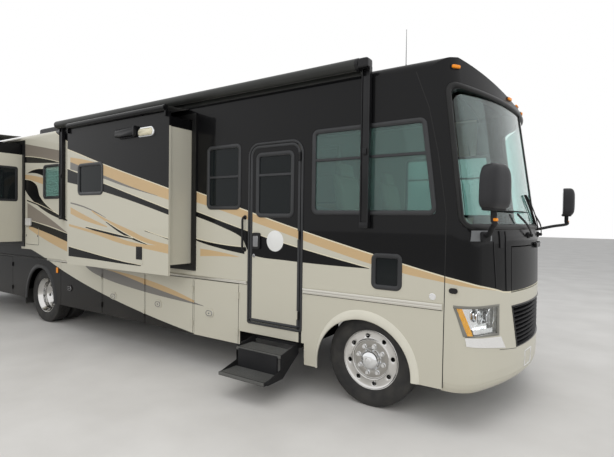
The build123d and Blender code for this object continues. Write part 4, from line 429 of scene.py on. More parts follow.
def finish_mesh(name, mesh_data, body, material, angle=35):
    """Turns a bmesh into a shaded object that rides on a body."""
    bmesh.ops.recalc_face_normals(mesh_data, faces=mesh_data.faces)
    mesh = bpy.data.meshes.new(name)
    mesh_data.to_mesh(mesh)
    mesh_data.free()
    for face in mesh.polygons:
        face.use_smooth = True
    mesh.set_sharp_from_angle(angle=math.radians(angle))
    piece = bpy.data.objects.new(name, mesh)
    bpy.context.scene.collection.objects.link(piece)
    mesh.materials.append(material)
    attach(piece, body)
    return piece


def between(one, two, share):
    """A point part of the way from one to another."""
    return tuple(p + (q - p) * share for p, q in zip(one, two))


def join_rows(data, one, two, closed=True):
    """Four-sided faces between two rows of points."""
    for i in range(len(one) if closed else len(one) - 1):
        j = (i + 1) % len(one)
        data.faces.new((one[i], one[j], two[j], two[i]))


def skin(data, rows, closed=True, around=False, caps=False):
    """Faces between rows of points: closed rows meet themselves, around joins the last row to the first."""
    made = [[data.verts.new(point) for point in row] for row in rows]
    for one, two in zip(made, made[1:] + (made[:1] if around else [])):
        join_rows(data, one, two, closed)
    if caps:
        data.faces.new(made[0][::-1])
        data.faces.new(made[-1])
    return made


def two_layers(data, *layers):
    """Two grids of points, each skinned, joined about their edges."""
    rims = []
    for rows in layers:
        made = skin(data, rows, closed=False)
        rims.append(made[0][:-1] + [row[-1] for row in made[:-1]] + made[-1][:0:-1]
                    + [row[0] for row in made[:0:-1]])
    join_rows(data, *rims)


def lathe(data, profile, centre, side, steps=72):
    """Turns (radius, out) points about an axle along Y."""
    x, y, z = centre
    rings = [[(x + radius * cos, y + side * out, z + radius * sin) for radius, out in profile]
             for cos, sin in circle(1, steps)]
    skin(data, rings, closed=False, around=True)


def spin(data, profile, origin, axis, steps=32):
    """Turns (radius, out) points about an axis that starts at origin."""
    turn = Vector(axis).normalized().to_track_quat("Z", "Y").to_matrix()
    made = skin(data, [[Vector(origin) + turn @ Vector((a, b, out)) for a, b in circle(radius, steps)]
                       for radius, out in profile])
    if profile[-1][0] > 0.0005:
        data.faces.new(made[-1])
    if profile[0][0] > 0.0005:
        data.faces.new(made[0][::-1])


def rounded_outline(corners, radius, steps=6):
    """A polygon with rounded corners, as points in its own plane."""
    outline = []
    count = len(corners)
    for i, corner in enumerate(corners):
        before, after = Vector(corners[i - 1]), Vector(corners[(i + 1) % count])
        corner = Vector(corner)
        a, b = (before - corner).normalized(), (after - corner).normalized()
        half = a.angle(b) / 2
        centre = corner + (a + b).normalized() * radius / math.sin(half)
        start = corner + a * radius / math.tan(half) - centre
        end = corner + b * radius / math.tan(half) - centre
        turn = start.angle_signed(end)
        for step in range(steps + 1):
            angle = -turn * step / steps
            cos, sin = math.cos(angle), math.sin(angle)
            outline.append((centre.x + start.x * cos - start.y * sin,
                            centre.y + start.x * sin + start.y * cos))
    return outline


def refined(points, longest):
    """A closed outline with its runs divided so that none is much longer than a length."""
    line = []
    for here, after in zip(points, points[1:] + points[:1]):
        steps = max(1, int(math.dist(here, after) / longest))
        line += [between(here, after, step / steps) for step in range(steps)]
    return line


def divided(points, steps=10):
    """A polyline with each run divided, so that it can follow a curved face."""
    line = [between(one, two, step / steps) for one, two in zip(points, points[1:]) for step in range(steps)]
    return line + [points[-1]]


def box_outline(low_a, high_a, low_b, high_b, radius=0.02, steps=5):
    """The outline of a box with rounded corners."""
    return rounded_outline([(low_a, low_b), (high_a, low_b), (high_a, high_b), (low_a, high_b)], radius,
                           steps)


def framed_outline(corners, steps=12):
    """A closed four-sided outline with its edges divided."""
    return divided([*corners, corners[0]], steps)[:-1]


def inset_outline(outline, amount):
    """The same outline moved in along its own normals."""
    moved = []
    count = len(outline)
    area = sum(outline[i][0] * outline[(i + 1) % count][1] - outline[(i + 1) % count][0] * outline[i][1]
               for i in range(count))
    sign = 1 if area > 0 else -1
    for i, (x, z) in enumerate(outline):
        before, after = outline[i - 1], outline[(i + 1) % count]
        dx, dz = after[0] - before[0], after[1] - before[1]
        length = math.hypot(dx, dz) or 1
        moved.append((x - sign * dz / length * amount, z + sign * dx / length * amount))
    return moved


def loops_of(at, outline, profile):
    """An outline's loops on a face, each moved in by an amount and raised by another."""
    return [[at(a, b, proud) for a, b in inset_outline(outline, amount)] for amount, proud in profile]


def pad(data, at, outline, low, high, soft=0.002):
    """A raised plate with a softened edge on a face."""
    skin(data, loops_of(at, outline, ((0, low), (0, high - soft), (soft, high))), caps=True)


def slab(data, at, corners, low, high, columns=16, rows=4):
    """A thin panel on a curved face between its corners: foot start, foot end, head end, head start."""
    foot_start, foot_end, head_end, head_start = corners

    def spot(u, v):
        return between(between(foot_start, foot_end, u), between(head_start, head_end, u), v)

    two_layers(data, *([[at(*spot(i / columns, j / rows), proud) for i in range(columns + 1)]
                        for j in range(rows + 1)] for proud in (low, high)))


def ribbon(data, at, line, width, low, high):
    """A narrow raised band along a line on a face."""
    rows = []
    for i, (a, b) in enumerate(line):
        before, after = line[max(i - 1, 0)], line[min(i + 1, len(line) - 1)]
        da, db = after[0] - before[0], after[1] - before[1]
        na, nb = -db / math.hypot(da, db) * width / 2, da / math.hypot(da, db) * width / 2
        rows.append([at(a + na, b + nb, low), at(a + na, b + nb, high), at(a - na, b - nb, high),
                     at(a - na, b - nb, low)])
    skin(data, rows, caps=True)


def wall_face(side, plane=WALL_Y):
    """Places (place, height, proud) points on a side wall."""
    return lambda a, b, proud: (a, side * (plane + proud), b)


def end_face(x, sign):
    """Places (across, height, proud) points on a wall that lies across the vehicle."""
    return lambda a, b, proud: (x + sign * proud, a, b)


def box_mesh(data, low, high, bevel, segments=2):
    """A box with its edges rounded, added to a bmesh."""
    made = bmesh.ops.create_cube(data, size=1.0)
    bmesh.ops.scale(data, vec=Vector(high) - Vector(low), verts=made["verts"])
    bmesh.ops.translate(data, vec=(Vector(low) + Vector(high)) / 2, verts=made["verts"])
    edges = list(dict.fromkeys(edge for vert in made["verts"] for edge in vert.link_edges))
    bmesh.ops.bevel(data, geom=edges, offset=bevel, segments=segments, affect="EDGES", profile=0.5)


def smooth_path(points, steps=6):
    """Points along a smooth line through the given ones."""
    points = [Vector(point) for point in points]
    ends = [2 * points[0] - points[1]] + points + [2 * points[-1] - points[-2]]
    line = []
    for i in range(1, len(ends) - 2):
        a, b, c, d = ends[i - 1:i + 3]
        for step in range(steps):
            t = step / steps
            line.append(0.5 * (2 * b + (c - a) * t + (2 * a - 5 * b + 4 * c - d) * t * t
                               + (3 * b - a - 3 * c + d) * t ** 3))
    line.append(points[-1])
    return line


def circle(radius, steps=16, squash=1.0):
    """Points of a circle, or of an oval with its second measure squashed."""
    return [(radius * math.cos(2 * math.pi * i / steps), squash * radius * math.sin(2 * math.pi * i / steps))
            for i in range(steps)]


def arc(radius, angles):
    """Points of a circle at the given angles."""
    turns = [math.radians(angle) for angle in angles]
    return [(radius * math.cos(turn), radius * math.sin(turn)) for turn in turns]


def sweep(data, line, section, over=(0, 0, 1)):
    """Carries a closed (across, over) section along a line of points."""
    line = [Vector(point) for point in line]
    over = Vector(over)
    rings = []
    for i, point in enumerate(line):
        ahead = (line[min(i + 1, len(line) - 1)] - line[max(i - 1, 0)]).normalized()
        over = (over - ahead * over.dot(ahead)).normalized()
        across = ahead.cross(over)
        rings.append([point + across * a + over * b for a, b in section])
    skin(data, rings, caps=True)


def rounded_block(data, centre, size, power=0.3, turn=None, columns=40, rows=20, taper=0.0):
    """A block with soft edges and slightly crowned faces."""
    half = Vector(size) / 2

    def soft(value):
        return math.copysign(abs(value) ** power, value)

    rings = []
    for i in range(1, rows):
        lift = -math.pi / 2 + math.pi * i / rows
        ring = []
        for j in range(columns):
            turned = 2 * math.pi * (j + 0.5) / columns
            point = Vector((half.x * soft(math.cos(lift)) * soft(math.cos(turned)),
                            half.y * soft(math.cos(lift)) * soft(math.sin(turned))
                            * (1 - taper * math.sin(lift)),
                            half.z * soft(math.sin(lift))))
            ring.append(Vector(centre) + (turn @ point if turn else point))
        rings.append(ring)
    skin(data, rings, caps=True)


def moulding(name, body, material, at, outline, profile):
    """A raised strip about an outline on a face, as (moved in, proud) points."""
    data = bmesh.new()
    skin(data, loops_of(at, outline, profile))
    return finish_mesh(name, data, body, material, 40)


def plates(name, body, slot, material, at, *pads):
    """Raised plates on a face, each as (outline, low, high, soft)."""
    data = bmesh.new()
    for given in pads:
        pad(data, at, *given)
    return finish_mesh(name, data, body, material, 40)


def panel(name, material, at, corners, low, high, columns, rows):
    """A thin fixed panel that follows a curved face."""
    data = bmesh.new()
    slab(data, at, corners, low, high, columns, rows)
    return finish_mesh(name, data, "root", material, 40)


def turned(name, body, slot, material, origin, side, profile, steps):
    """A round piece on a side face, as (radius, out) points."""
    data = bmesh.new()
    spin(data, profile, origin, (0, side, 0), steps)
    return finish_mesh(name, data, body, material, 40)


# Front of the body as (height, reach from the front axle, tuck in), with its two plan arcs
NOSE = [(0.370, 1.262, 0.026), (0.395, 1.286, 0.012), (0.440, 1.301, 0.003), (0.520, 1.307, 0.0),
        (1.150, 1.310, 0.0), (1.700, 1.300, 0.0), (3.030, 1.100, 0.0), (3.400, 1.042, 0.0)]
NOSE_WIDE, NOSE_CORNER = 2.57, 0.23


def nose(along, z, proud=0.0):
    """A point on the front: along is the distance from the middle round the corner, left side positive."""
    for (z0, reach0, tuck0), (z1, reach1, tuck1) in zip(NOSE, NOSE[1:]):
        if z <= z1:
            break
    t = (z - z0) / (z1 - z0)
    reach, tuck = reach0 + (reach1 - reach0) * t, tuck0 + (tuck1 - tuck0) * t
    half = WALL_Y - tuck
    turn = math.asin((half - NOSE_CORNER) / (NOSE_WIDE - NOSE_CORNER))
    wide_x = place(reach) - NOSE_WIDE
    corner_x = wide_x + (NOSE_WIDE - NOSE_CORNER) * math.cos(turn)
    sign = 1 if along >= 0 else -1
    far = abs(along)
    if far <= NOSE_WIDE * turn:
        angle = far / NOSE_WIDE
        x, y = wide_x + (NOSE_WIDE + proud) * math.cos(angle), (NOSE_WIDE + proud) * math.sin(angle)
    elif far <= NOSE_WIDE * turn + NOSE_CORNER * (math.pi / 2 - turn):
        angle = turn + (far - NOSE_WIDE * turn) / NOSE_CORNER
        x = corner_x + (NOSE_CORNER + proud) * math.cos(angle)
        y = half - NOSE_CORNER + (NOSE_CORNER + proud) * math.sin(angle)
    else:
        x = corner_x - (far - NOSE_WIDE * turn - NOSE_CORNER * (math.pi / 2 - turn))
        y = half + proud
    return (x, sign * y, z)


def along_of(y):
    """How far round the wide arc a reach lies."""
    return NOSE_WIDE * math.asin(y / NOSE_WIDE)


def along_at(x, z):
    """How far round the front a place behind its tip lies, at a height."""
    low, high = 0.5, 2.2
    for _ in range(40):
        middle = (low + high) / 2
        if nose(middle, z)[0] > place(x):
            low = middle
        else:
            high = middle
    return low


def front_of(side):
    """Places (distance round the front, height, proud) points on one half of the front."""
    return lambda a, b, proud: nose(side * a, b, proud)


# Windows


def window(name, body, at, corners, bars=(), pane=PRIVACY, blind=None, radius=0.072, node=None, uprights=(),
           flange=0.008, crown=1.0):
    """A window with a rounded black frame, a set-back pane, bars, and a blind behind it if given."""
    outline = inset_outline(rounded_outline(corners, radius - flange), -flange)
    width = flange + 0.038
    data = bmesh.new()
    profile = [(0.0, -0.001), (0.0, 0.0035), (0.004, 0.0085), (0.012, 0.0115), (width * 0.6, 0.0115),
               (width - 0.010, 0.0085), (width - 0.002, 0.003), (width, -0.004), (width, -0.03),
               (flange + 0.002, -0.03), (flange + 0.002, -0.001)]
    profile = [(amount, proud * crown if proud > 0 else proud) for amount, proud in profile]
    skin(data, loops_of(at, outline, profile), around=True)
    low_a, high_a = min(c[0] for c in corners), max(c[0] for c in corners)
    foot, head = min(c[1] for c in corners), max(c[1] for c in corners)
    for bar in bars:
        end = bar_end(corners, bar) - 0.025
        pad(data, at, box_outline(low_a + 0.025, end, bar - 0.013, bar + 0.013, 0.002, 1), -0.008, 0.004)
    for bar in uprights:
        pad(data, at, box_outline(bar - 0.013, bar + 0.013, foot + 0.025, head - 0.025, 0.002, 1), -0.008,
            0.004)
    frame_piece = finish_mesh(name + "_frame", data, body, FRAME_BLACK)
    if node:
        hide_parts(node)
    data = bmesh.new()
    skin(data, loops_of(at, outline, ((width - 0.002, -0.009), (width - 0.002, -0.014))), caps=True)
    finish_mesh(name + "_pane", data, body, pane, 30)
    if blind:
        data = bmesh.new()
        foot, head = blind
        folds = max(3, int((head - foot) / 0.02))
        heights = [foot + (head - foot) * i / folds for i in range(folds + 1)]
        skin(data, [[at(a, z, -0.034 if i % 2 else -0.028) for a in (low_a + 0.03, high_a - 0.03)]
                    for i, z in enumerate(heights)], closed=False)
        finish_mesh(name + "_blind", data, body, BLIND, 20)


def bar_end(corners, z):
    """Where the front edge of a window is at a height."""
    fronts = sorted(corners, key=lambda c: c[0])[-2:]
    (xa, za), (xb, zb) = fronts
    if abs(za - zb) < 1e-6:
        return max(xa, xb)
    return xa + (xb - xa) * (z - za) / (zb - za)


def upright(rear, front, foot, head, front_head=None):
    """Corners of a window from its edges, counted from the front axle."""
    front_head = front if front_head is None else front_head
    return [(place(rear), foot), (place(front), foot), (place(front_head), head), (place(rear), head)]


def make_windows():
    """Windows of the walls, the entry door and the three rooms."""
    for side, word in ((RIGHT, "right"), (LEFT, "left")):
        wall = wall_face(side)
        window(f"{word}_cab_window", "root", wall, upright(-0.614, 0.675, 1.884, 2.734, 0.561), bars=(2.428,),
               pane=TEAL_GLASS, node="wall_windows", uprights=(place(-0.02),))
        window(f"{word}_low_window", "root", wall, upright(0.07, 0.36, 1.19, 1.515), radius=0.06)
    wall = wall_face(RIGHT)
    window("right_middle_window", "root", wall, upright(-2.135, -1.6, 1.938, 2.682), bars=(2.315,))
    window("right_rear_window", "root", wall, upright(-6.06, -5.53, 2.12, 2.68), pane=PALE_GLASS,
           blind=(2.13, 2.67))
    window("entry_door_pane", "entry_door", wall_face(RIGHT, DOOR_FACE), upright(-1.355, -0.85, 1.85, 2.55),
           bars=(2.31,), node="entry_door_window")
    window("right_front_slide_pane", "right_front_slide", wall_face(RIGHT, FRONT_ROOM_FACE),
           upright(-4.32, -3.72, 2.13, 2.56), node="right_front_slide_windows")
    corners = [(-1.923, 2.08), (-1.368, 2.08), (-1.368, 2.69), (-1.923, 2.69)]
    for x, sign, word in ((-6.785, 1, "front"), (-9.2, -1, "rear")):
        window(f"right_rear_slide_{word}_pane", "right_rear_slide", end_face(place(x), sign), corners,
               node="right_rear_slide_windows", radius=0.045, flange=0.001, crown=0.35)
    for index, (rear, front) in enumerate(((-2.7, -2.0), (-5.0, -3.7), (-8.0, -7.2))):
        window(f"left_slide_pane_{index + 1}", "left_slide", wall_face(LEFT, LEFT_ROOM_FACE),
               upright(rear, front, 2.13, 2.68), node="left_slide_windows",
               uprights=(place((rear + front) / 2),) if front - rear > 1 else ())


# Wheels


# Wheel profiles as (radius, out) points from the rim inwards
FRONT_DISC = [(0.2835, 0.0945), (0.281, 0.0915), (0.276, 0.0885), (0.268, 0.0860), (0.258, 0.0845),
              (0.240, 0.0835), (0.222, 0.0840), (0.207, 0.0860), (0.202, 0.0900), (0.198, 0.0930),
              (0.194, 0.0930), (0.190, 0.0905), (0.187, 0.0840), (0.184, 0.0765), (0.179, 0.0745),
              (0.170, 0.0745), (0.108, 0.0745)]
REAR_DISC = [(0.252, -0.020), (0.240, -0.036), (0.214, -0.084), (0.200, -0.108), (0.184, -0.132),
             (0.174, -0.137), (0.165, -0.1345), (0.158, -0.137), (0.112, -0.137)]
FRONT_HUB = [(0.108, 0.074), (0.1075, 0.084), (0.103, 0.088), (0.100, 0.093), (0.093, 0.116), (0.084, 0.132),
             (0.070, 0.142), (0.050, 0.148), (0.030, 0.150), (0.026, 0.1535), (0.0005, 0.155)]
REAR_HUB = [(0.112, -0.137), (0.110, -0.130), (0.109, -0.066), (0.104, -0.048), (0.094, -0.030),
            (0.078, -0.021), (0.070, -0.016), (0.066, -0.020), (0.030, -0.018), (0.024, -0.011),
            (0.0005, -0.0105)]
BARREL = [(0.2745, -0.0775), (0.284, -0.0915), (0.2865, -0.100), (0.2925, -0.100), (0.2945, -0.092),
          (0.289, -0.082), (0.286, -0.080), (0.2555, -0.040), (0.2555, 0.040), (0.286, 0.080), (0.289, 0.082),
          (0.2945, 0.092), (0.2935, 0.0985), (0.290, 0.1005), (0.2865, 0.099), (0.283, 0.091),
          (0.2745, 0.0775), (0.2555, 0.0505), (0.2440, 0.038), (0.2440, -0.038), (0.2745, -0.0775)]
DRUM = [(0.13, -0.045), (0.215, -0.045), (0.219, -0.005), (0.215, 0.025), (0.205, 0.035), (0.13, 0.035),
        (0.13, -0.045)]
HOLE_COUNT = 8
NUT_COUNT = 8
NUT_RING = 0.1375
FRONT_NUT_SEAT, REAR_NUT_SEAT = 0.0745, -0.137
# Hand holes as (ring, hole radius, zone's inside, zone's outside)
FRONT_HOLES = (0.2335, 0.0225, 0.2065, 0.2605)
REAR_HOLES = (0.203, 0.0265, 0.170, 0.238)
HOLE_PHASE = math.radians(9.5)
NUT_PHASE = math.radians(31)


def out_at(profile, radius):
    """How far out a wheel's profile lies at a radius."""
    for (ra, outa), (rb, outb) in zip(profile, profile[1:]):
        if rb <= radius <= ra:
            return outa + (outb - outa) * (radius - ra) / (rb - ra)
    return profile[-1][1]


def drilled_disc(data, centre, side, middle, profile, holes):
    """A wheel's pressed centre with round hand holes, turned lips and a turned face."""
    hole_ring, hole_radius, low, high = holes
    arc_steps, side_steps = 12, 6
    for sector in range(HOLE_COUNT):
        middle_angle = HOLE_PHASE + 2 * math.pi * sector / HOLE_COUNT
        start, end = middle_angle - math.pi / HOLE_COUNT, middle_angle + math.pi / HOLE_COUNT
        corners = [(high, start), (high, end), (low, end), (low, start)]
        rim = []
        for one, two, steps in zip(corners, corners[1:] + corners[:1], (arc_steps, side_steps) * 2):
            rim += [between(one, two, step / steps) for step in range(steps)]

        def ring(size, sink=0.0, blend=1.0):
            points = []
            for spot in rim:
                turned_to = math.atan2(spot[0] - hole_ring, (spot[1] - middle_angle) * hole_ring)
                edge = (hole_ring + math.sin(turned_to) * size,
                        middle_angle + math.cos(turned_to) * size / hole_ring)
                radius, angle = between(spot, edge, blend)
                points.append((centre[0] + radius * math.cos(angle),
                               side * (middle + out_at(profile, radius) - sink),
                               centre[2] + radius * math.sin(angle)))
            return points

        skin(data, [ring(0.03, 0, 0.0), ring(hole_radius + 0.006, 0, 0.6), ring(hole_radius + 0.003),
                    ring(hole_radius, 0.002), ring(hole_radius - 0.0005, 0.014)])
    outer = [point for point in profile if point[0] > high] + [(high, out_at(profile, high))]
    inner = [(low, out_at(profile, low))] + [point for point in profile if point[0] < low]
    for part in (outer, inner):
        lathe(data, part, (centre[0], side * middle, centre[2]), side, 96)
    bmesh.ops.remove_doubles(data, verts=data.verts, dist=0.0003)


def nut(data, centre, side, radius, height):
    """A hexagonal wheel nut with a chamfered crown and a washer face under it."""
    x, y, z = centre
    rings = []
    for size, out, flat in ((1.2, -0.002, False), (1.2, 0.003, False), (1.12, 0.005, False), (1, 0.005, True),
                            (1, height * 0.8, True), (0.82, height, False), (0.5, height, False),
                            (0.46, height * 0.93, False)):
        ring = []
        for i in range(24):
            angle = 2 * math.pi * i / 24
            nearest = (angle + math.pi / 6) % (math.pi / 3) - math.pi / 6
            reach = radius * size * (math.cos(math.pi / 6) / math.cos(nearest) if flat else 1)
            ring.append((x + reach * math.cos(angle), y + side * out, z + reach * math.sin(angle)))
        rings.append(ring)
    data.faces.new(skin(data, rings)[-1])


def tyre_mesh(data, centre, side, middle, radius=0.458, half=0.1175, bead=0.287):
    """A tyre with ribbed tread, shoulders, bulging walls and a bead ring."""
    groove, ribs, tread_half = 0.009, 5, half * 0.8
    crown = []
    for i in range(ribs):
        left = -tread_half + 2 * tread_half * i / ribs + 0.004
        right = -tread_half + 2 * tread_half * (i + 1) / ribs - 0.004
        crown += [(radius - groove, left - 0.001), (radius, left), (radius, right),
                  (radius - groove, right + 0.001)]
    wall = [(radius - 0.006, tread_half + 0.008), (radius - 0.02, half * 0.93), (radius - 0.05, half * 0.975),
            (radius - 0.052, half * 0.99), (radius - 0.085, half), (radius - 0.115, half * 0.985),
            (bead + 0.034, half * 0.9), (bead + 0.026, half * 0.9), (bead + 0.02, half * 0.87),
            (bead, half * 0.8)]
    profile = [(r, -out) for r, out in wall[::-1]] + crown[1:-1] + wall
    lathe(data, [(r, middle + out) for r, out in profile], centre, side, 84)


def make_wheel(body, name, axle_x, side, track, disc, hub, face, holes):
    """The bright rim, its centre, its nuts and its hub cap."""
    axle = (axle_x, side * track, AXLE_HEIGHT)
    data = bmesh.new()
    lathe(data, BARREL, axle, side, 96)
    rim = finish_mesh(name + "_rim", data, body, BRIGHT, 40)
    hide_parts(body)
    data = bmesh.new()
    drilled_disc(data, axle, side, track, disc, holes)
    finish_mesh(name + "_centre", data, body, BRIGHT)
    if face > 0:
        data = bmesh.new()
        lathe(data, [(0.181, face), (0.180, face + 0.0012), (0.150, face + 0.0012), (0.112, face + 0.0012),
                     (0.110, face)], axle, side)
        finish_mesh(name + "_flange", data, body, FLANGE)
    data = bmesh.new()
    for i in range(NUT_COUNT):
        angle = NUT_PHASE + 2 * math.pi * i / NUT_COUNT
        nut(data, (axle_x + NUT_RING * math.cos(angle), side * (track + face),
                   AXLE_HEIGHT + NUT_RING * math.sin(angle)), side, 0.0205, 0.030)
    finish_mesh(name + "_nuts", data, body, CHROME, 30)
    data = bmesh.new()
    lathe(data, hub, axle, side)
    finish_mesh(name + "_hub_cap", data, body, CHROME, 30)


def make_tyre(name, body, axle_x, side, track):
    """One tyre on its wheel."""
    data = bmesh.new()
    tyre_mesh(data, (axle_x, 0.0, AXLE_HEIGHT), side, track)
    finish_mesh(name, data, body, TYRE, 30)


def make_wheels():
    """Single front wheels with their drums, and paired rear wheels with the inner rim behind."""
    for word, side in (("right", RIGHT), ("left", LEFT)):
        body, name = f"front_{word}_wheel", f"front_{word}"
        make_tyre(name + "_tyre", body, FRONT_AXLE, side, FRONT_TRACK)
        make_wheel(body, name, FRONT_AXLE, side, FRONT_TRACK, FRONT_DISC, FRONT_HUB, FRONT_NUT_SEAT,
                   FRONT_HOLES)
        data = bmesh.new()
        lathe(data, DRUM, (FRONT_AXLE, side * FRONT_TRACK, AXLE_HEIGHT), side, 64)
        finish_mesh(name + "_drum", data, body, CHASSIS, 30)
        body, name = f"rear_{word}_wheels", f"rear_{word}"
        for index, track in enumerate((REAR_TRACK, INNER_TRACK)):
            make_tyre(f"{name}_tyre_{index + 1}", body, REAR_AXLE, side, track)
        make_wheel(body, name, REAR_AXLE, side, REAR_TRACK, REAR_DISC, REAR_HUB, REAR_NUT_SEAT, REAR_HOLES)
        data = bmesh.new()
        for profile in (BARREL, [(0.252, 0.020), (0.214, 0.084), (0.184, 0.130), (0.112, 0.137)]):
            lathe(data, profile, (REAR_AXLE, side * INNER_TRACK, AXLE_HEIGHT), side)
        finish_mesh(name + "_inner_rim", data, body, BRIGHT, 40)


# Front


GRILLE_FOOT, GRILLE_HEAD = 0.670, 1.072
GRILLE_HALF_FOOT, GRILLE_HALF_HEAD = 0.620, 0.740


def make_grille():
    """Ten slanted blades that follow the front's arc, in a slim frame before a dark mesh."""
    data = bmesh.new()
    count, tall = 10, GRILLE_HEAD - GRILLE_FOOT
    blade = [(-0.026, 0.008), (-0.006, 0.006), (0.014, -0.006), (0.017, -0.010), (0.014, -0.013),
             (-0.008, -0.003), (-0.026, 0.003)]
    for i in range(count):
        share = (i + 0.5) / count
        half = along_of(GRILLE_HALF_FOOT + (GRILLE_HALF_HEAD - GRILLE_HALF_FOOT) * share) - 0.008
        sweep(data, [nose(-half + 2 * half * j / 40, GRILLE_FOOT + tall * share, -0.02) for j in range(41)],
              blade)
    for y in (-0.42, -0.14, 0.14, 0.42):
        line = [nose(y, GRILLE_FOOT + tall * j / 6, -0.04) for j in range(7)]
        sweep(data, line, circle(0.005, 8), over=(1, 0, 0))
    blades = finish_mesh("grille_blades", data, "root", GRILLE_BLACK, 40)
    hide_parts("grille")
    foot_half, head_half = along_of(GRILLE_HALF_FOOT - 0.002), along_of(GRILLE_HALF_HEAD - 0.002)
    corners = [(-foot_half, 0.672), (foot_half, 0.672), (head_half, 1.070), (-head_half, 1.070)]
    moulding("grille_frame", "root", BLACK_TRIM, nose, framed_outline(corners),
             ((0, -0.04), (0, 0.002), (0.003, 0.005), (0.012, 0.005), (0.014, 0.0), (0.014, -0.04)))
    panel("grille_mesh", MESH_BLACK, nose, corners, -0.062, -0.055, 40, 6)


def make_front_lip():
    """A smooth painted lip along the front's foot."""
    end = along_at(0.757, 0.40)
    panel("front_lip", PAINT, nose, [(-end, 0.352), (end, 0.352), (end, 0.435), (-end, 0.435)],
          -0.004, 0.0015, 72, 5)


def make_front_trim():
    """Cap seams, cowl covers, hood ribs, the bright panel under each headlamp, a bright plate frame, and a
    blank badge on the side.
    """
    seam = [(4.901, 0.385), (4.908, 1.89), (4.828, 2.42), (4.741, 2.82), (4.617, 3.15)]
    seams, sills, covers, ribs = bmesh.new(), bmesh.new(), bmesh.new(), bmesh.new()
    for side in (RIGHT, LEFT):
        at = front_of(side)
        ribbon(seams, wall_face(side), divided(seam, 4), 0.007, -0.002, 0.0012)
        ribbon(seams, at, divided([(0.625, 0.664), (0.93, 0.70)], 8), 0.004, -0.002, 0.001)
        slab(sills, at, [(0.845, 0.705), (1.338, 0.772), (1.352, 0.845), (0.925, 0.818)],
             -0.001, 0.006, 32, 4)
        slab(covers, at, [(1.080, 1.662), (1.316, 1.662), (1.300, 1.752), (1.080, 1.752)],
             -0.001, 0.010, 16, 4)
        ribbon(ribs, at, divided([(0.845, 1.215), (0.862, 1.745)], 10), 0.012, -0.002, 0.006)
        ribbon(ribs, at, divided([(1.005, 1.245), (1.045, 1.655)], 10), 0.010, -0.002, 0.005)
        slab(ribs, at, [(0.905, 1.60), (0.955, 1.60), (0.965, 1.748), (0.915, 1.748)], -0.001, 0.009, 6, 4)
    finish_mesh("cap_seams", seams, "root", GASKET, 40)
    finish_mesh("lamp_sills", sills, "root", SILL_SILVER, 40)
    finish_mesh("cowl_covers", covers, "root", COWL_GREY, 40)
    finish_mesh("cowl_ribs", ribs, "root", MATT_BLACK, 40)
    outline = framed_outline([(-0.418, 0.447), (-0.212, 0.447), (-0.212, 0.602), (-0.418, 0.602)], 4)
    moulding("front_plate_frame", "root", CHROME, nose, outline,
             ((0, -0.001), (0, 0.005), (0.002, 0.007), (0.007, 0.007), (0.009, 0.005), (0.009, -0.001)))
    turned("blank_side_badge", "root", "bright_metal", CHROME, (place(0.651), RIGHT * WALL_Y, 1.167), RIGHT,
           [(0.030, -0.001), (0.030, 0.003), (0.028, 0.0045), (0.024, 0.0045), (0.023, 0.003),
            (0.0005, 0.0035)], 40)


def brow(y, z):
    """The front's face at a reach and height near the brow, with its outward direction there."""
    points = (0.420, 3.345), (0.806, 3.252), (1.112, 3.0)
    (xa, za), (xb, zb), (xc, zc) = points
    a, b, c = (x ** 2 + z ** 2 for x, z in points)
    d = 2 * (xa * (zb - zc) + xb * (zc - za) + xc * (za - zb))
    ux = (a * (zb - zc) + b * (zc - za) + c * (za - zb)) / d
    uz = (a * (xc - xb) + b * (xa - xc) + c * (xb - xa)) / d
    radius = math.hypot(xa - ux, za - uz)
    brow_x = place(ux + math.sqrt(radius ** 2 - (z - uz) ** 2))
    along = along_of(abs(y))
    x, _, _ = nose(along, z)
    if brow_x < x:
        return Vector((brow_x, y, z)), Vector((brow_x - place(ux), 0, z - uz)).normalized()
    out = Vector(nose(math.copysign(along, y), z, 1.0)) - Vector(nose(math.copysign(along, y), z))
    return Vector((x, y, z)), out.normalized()


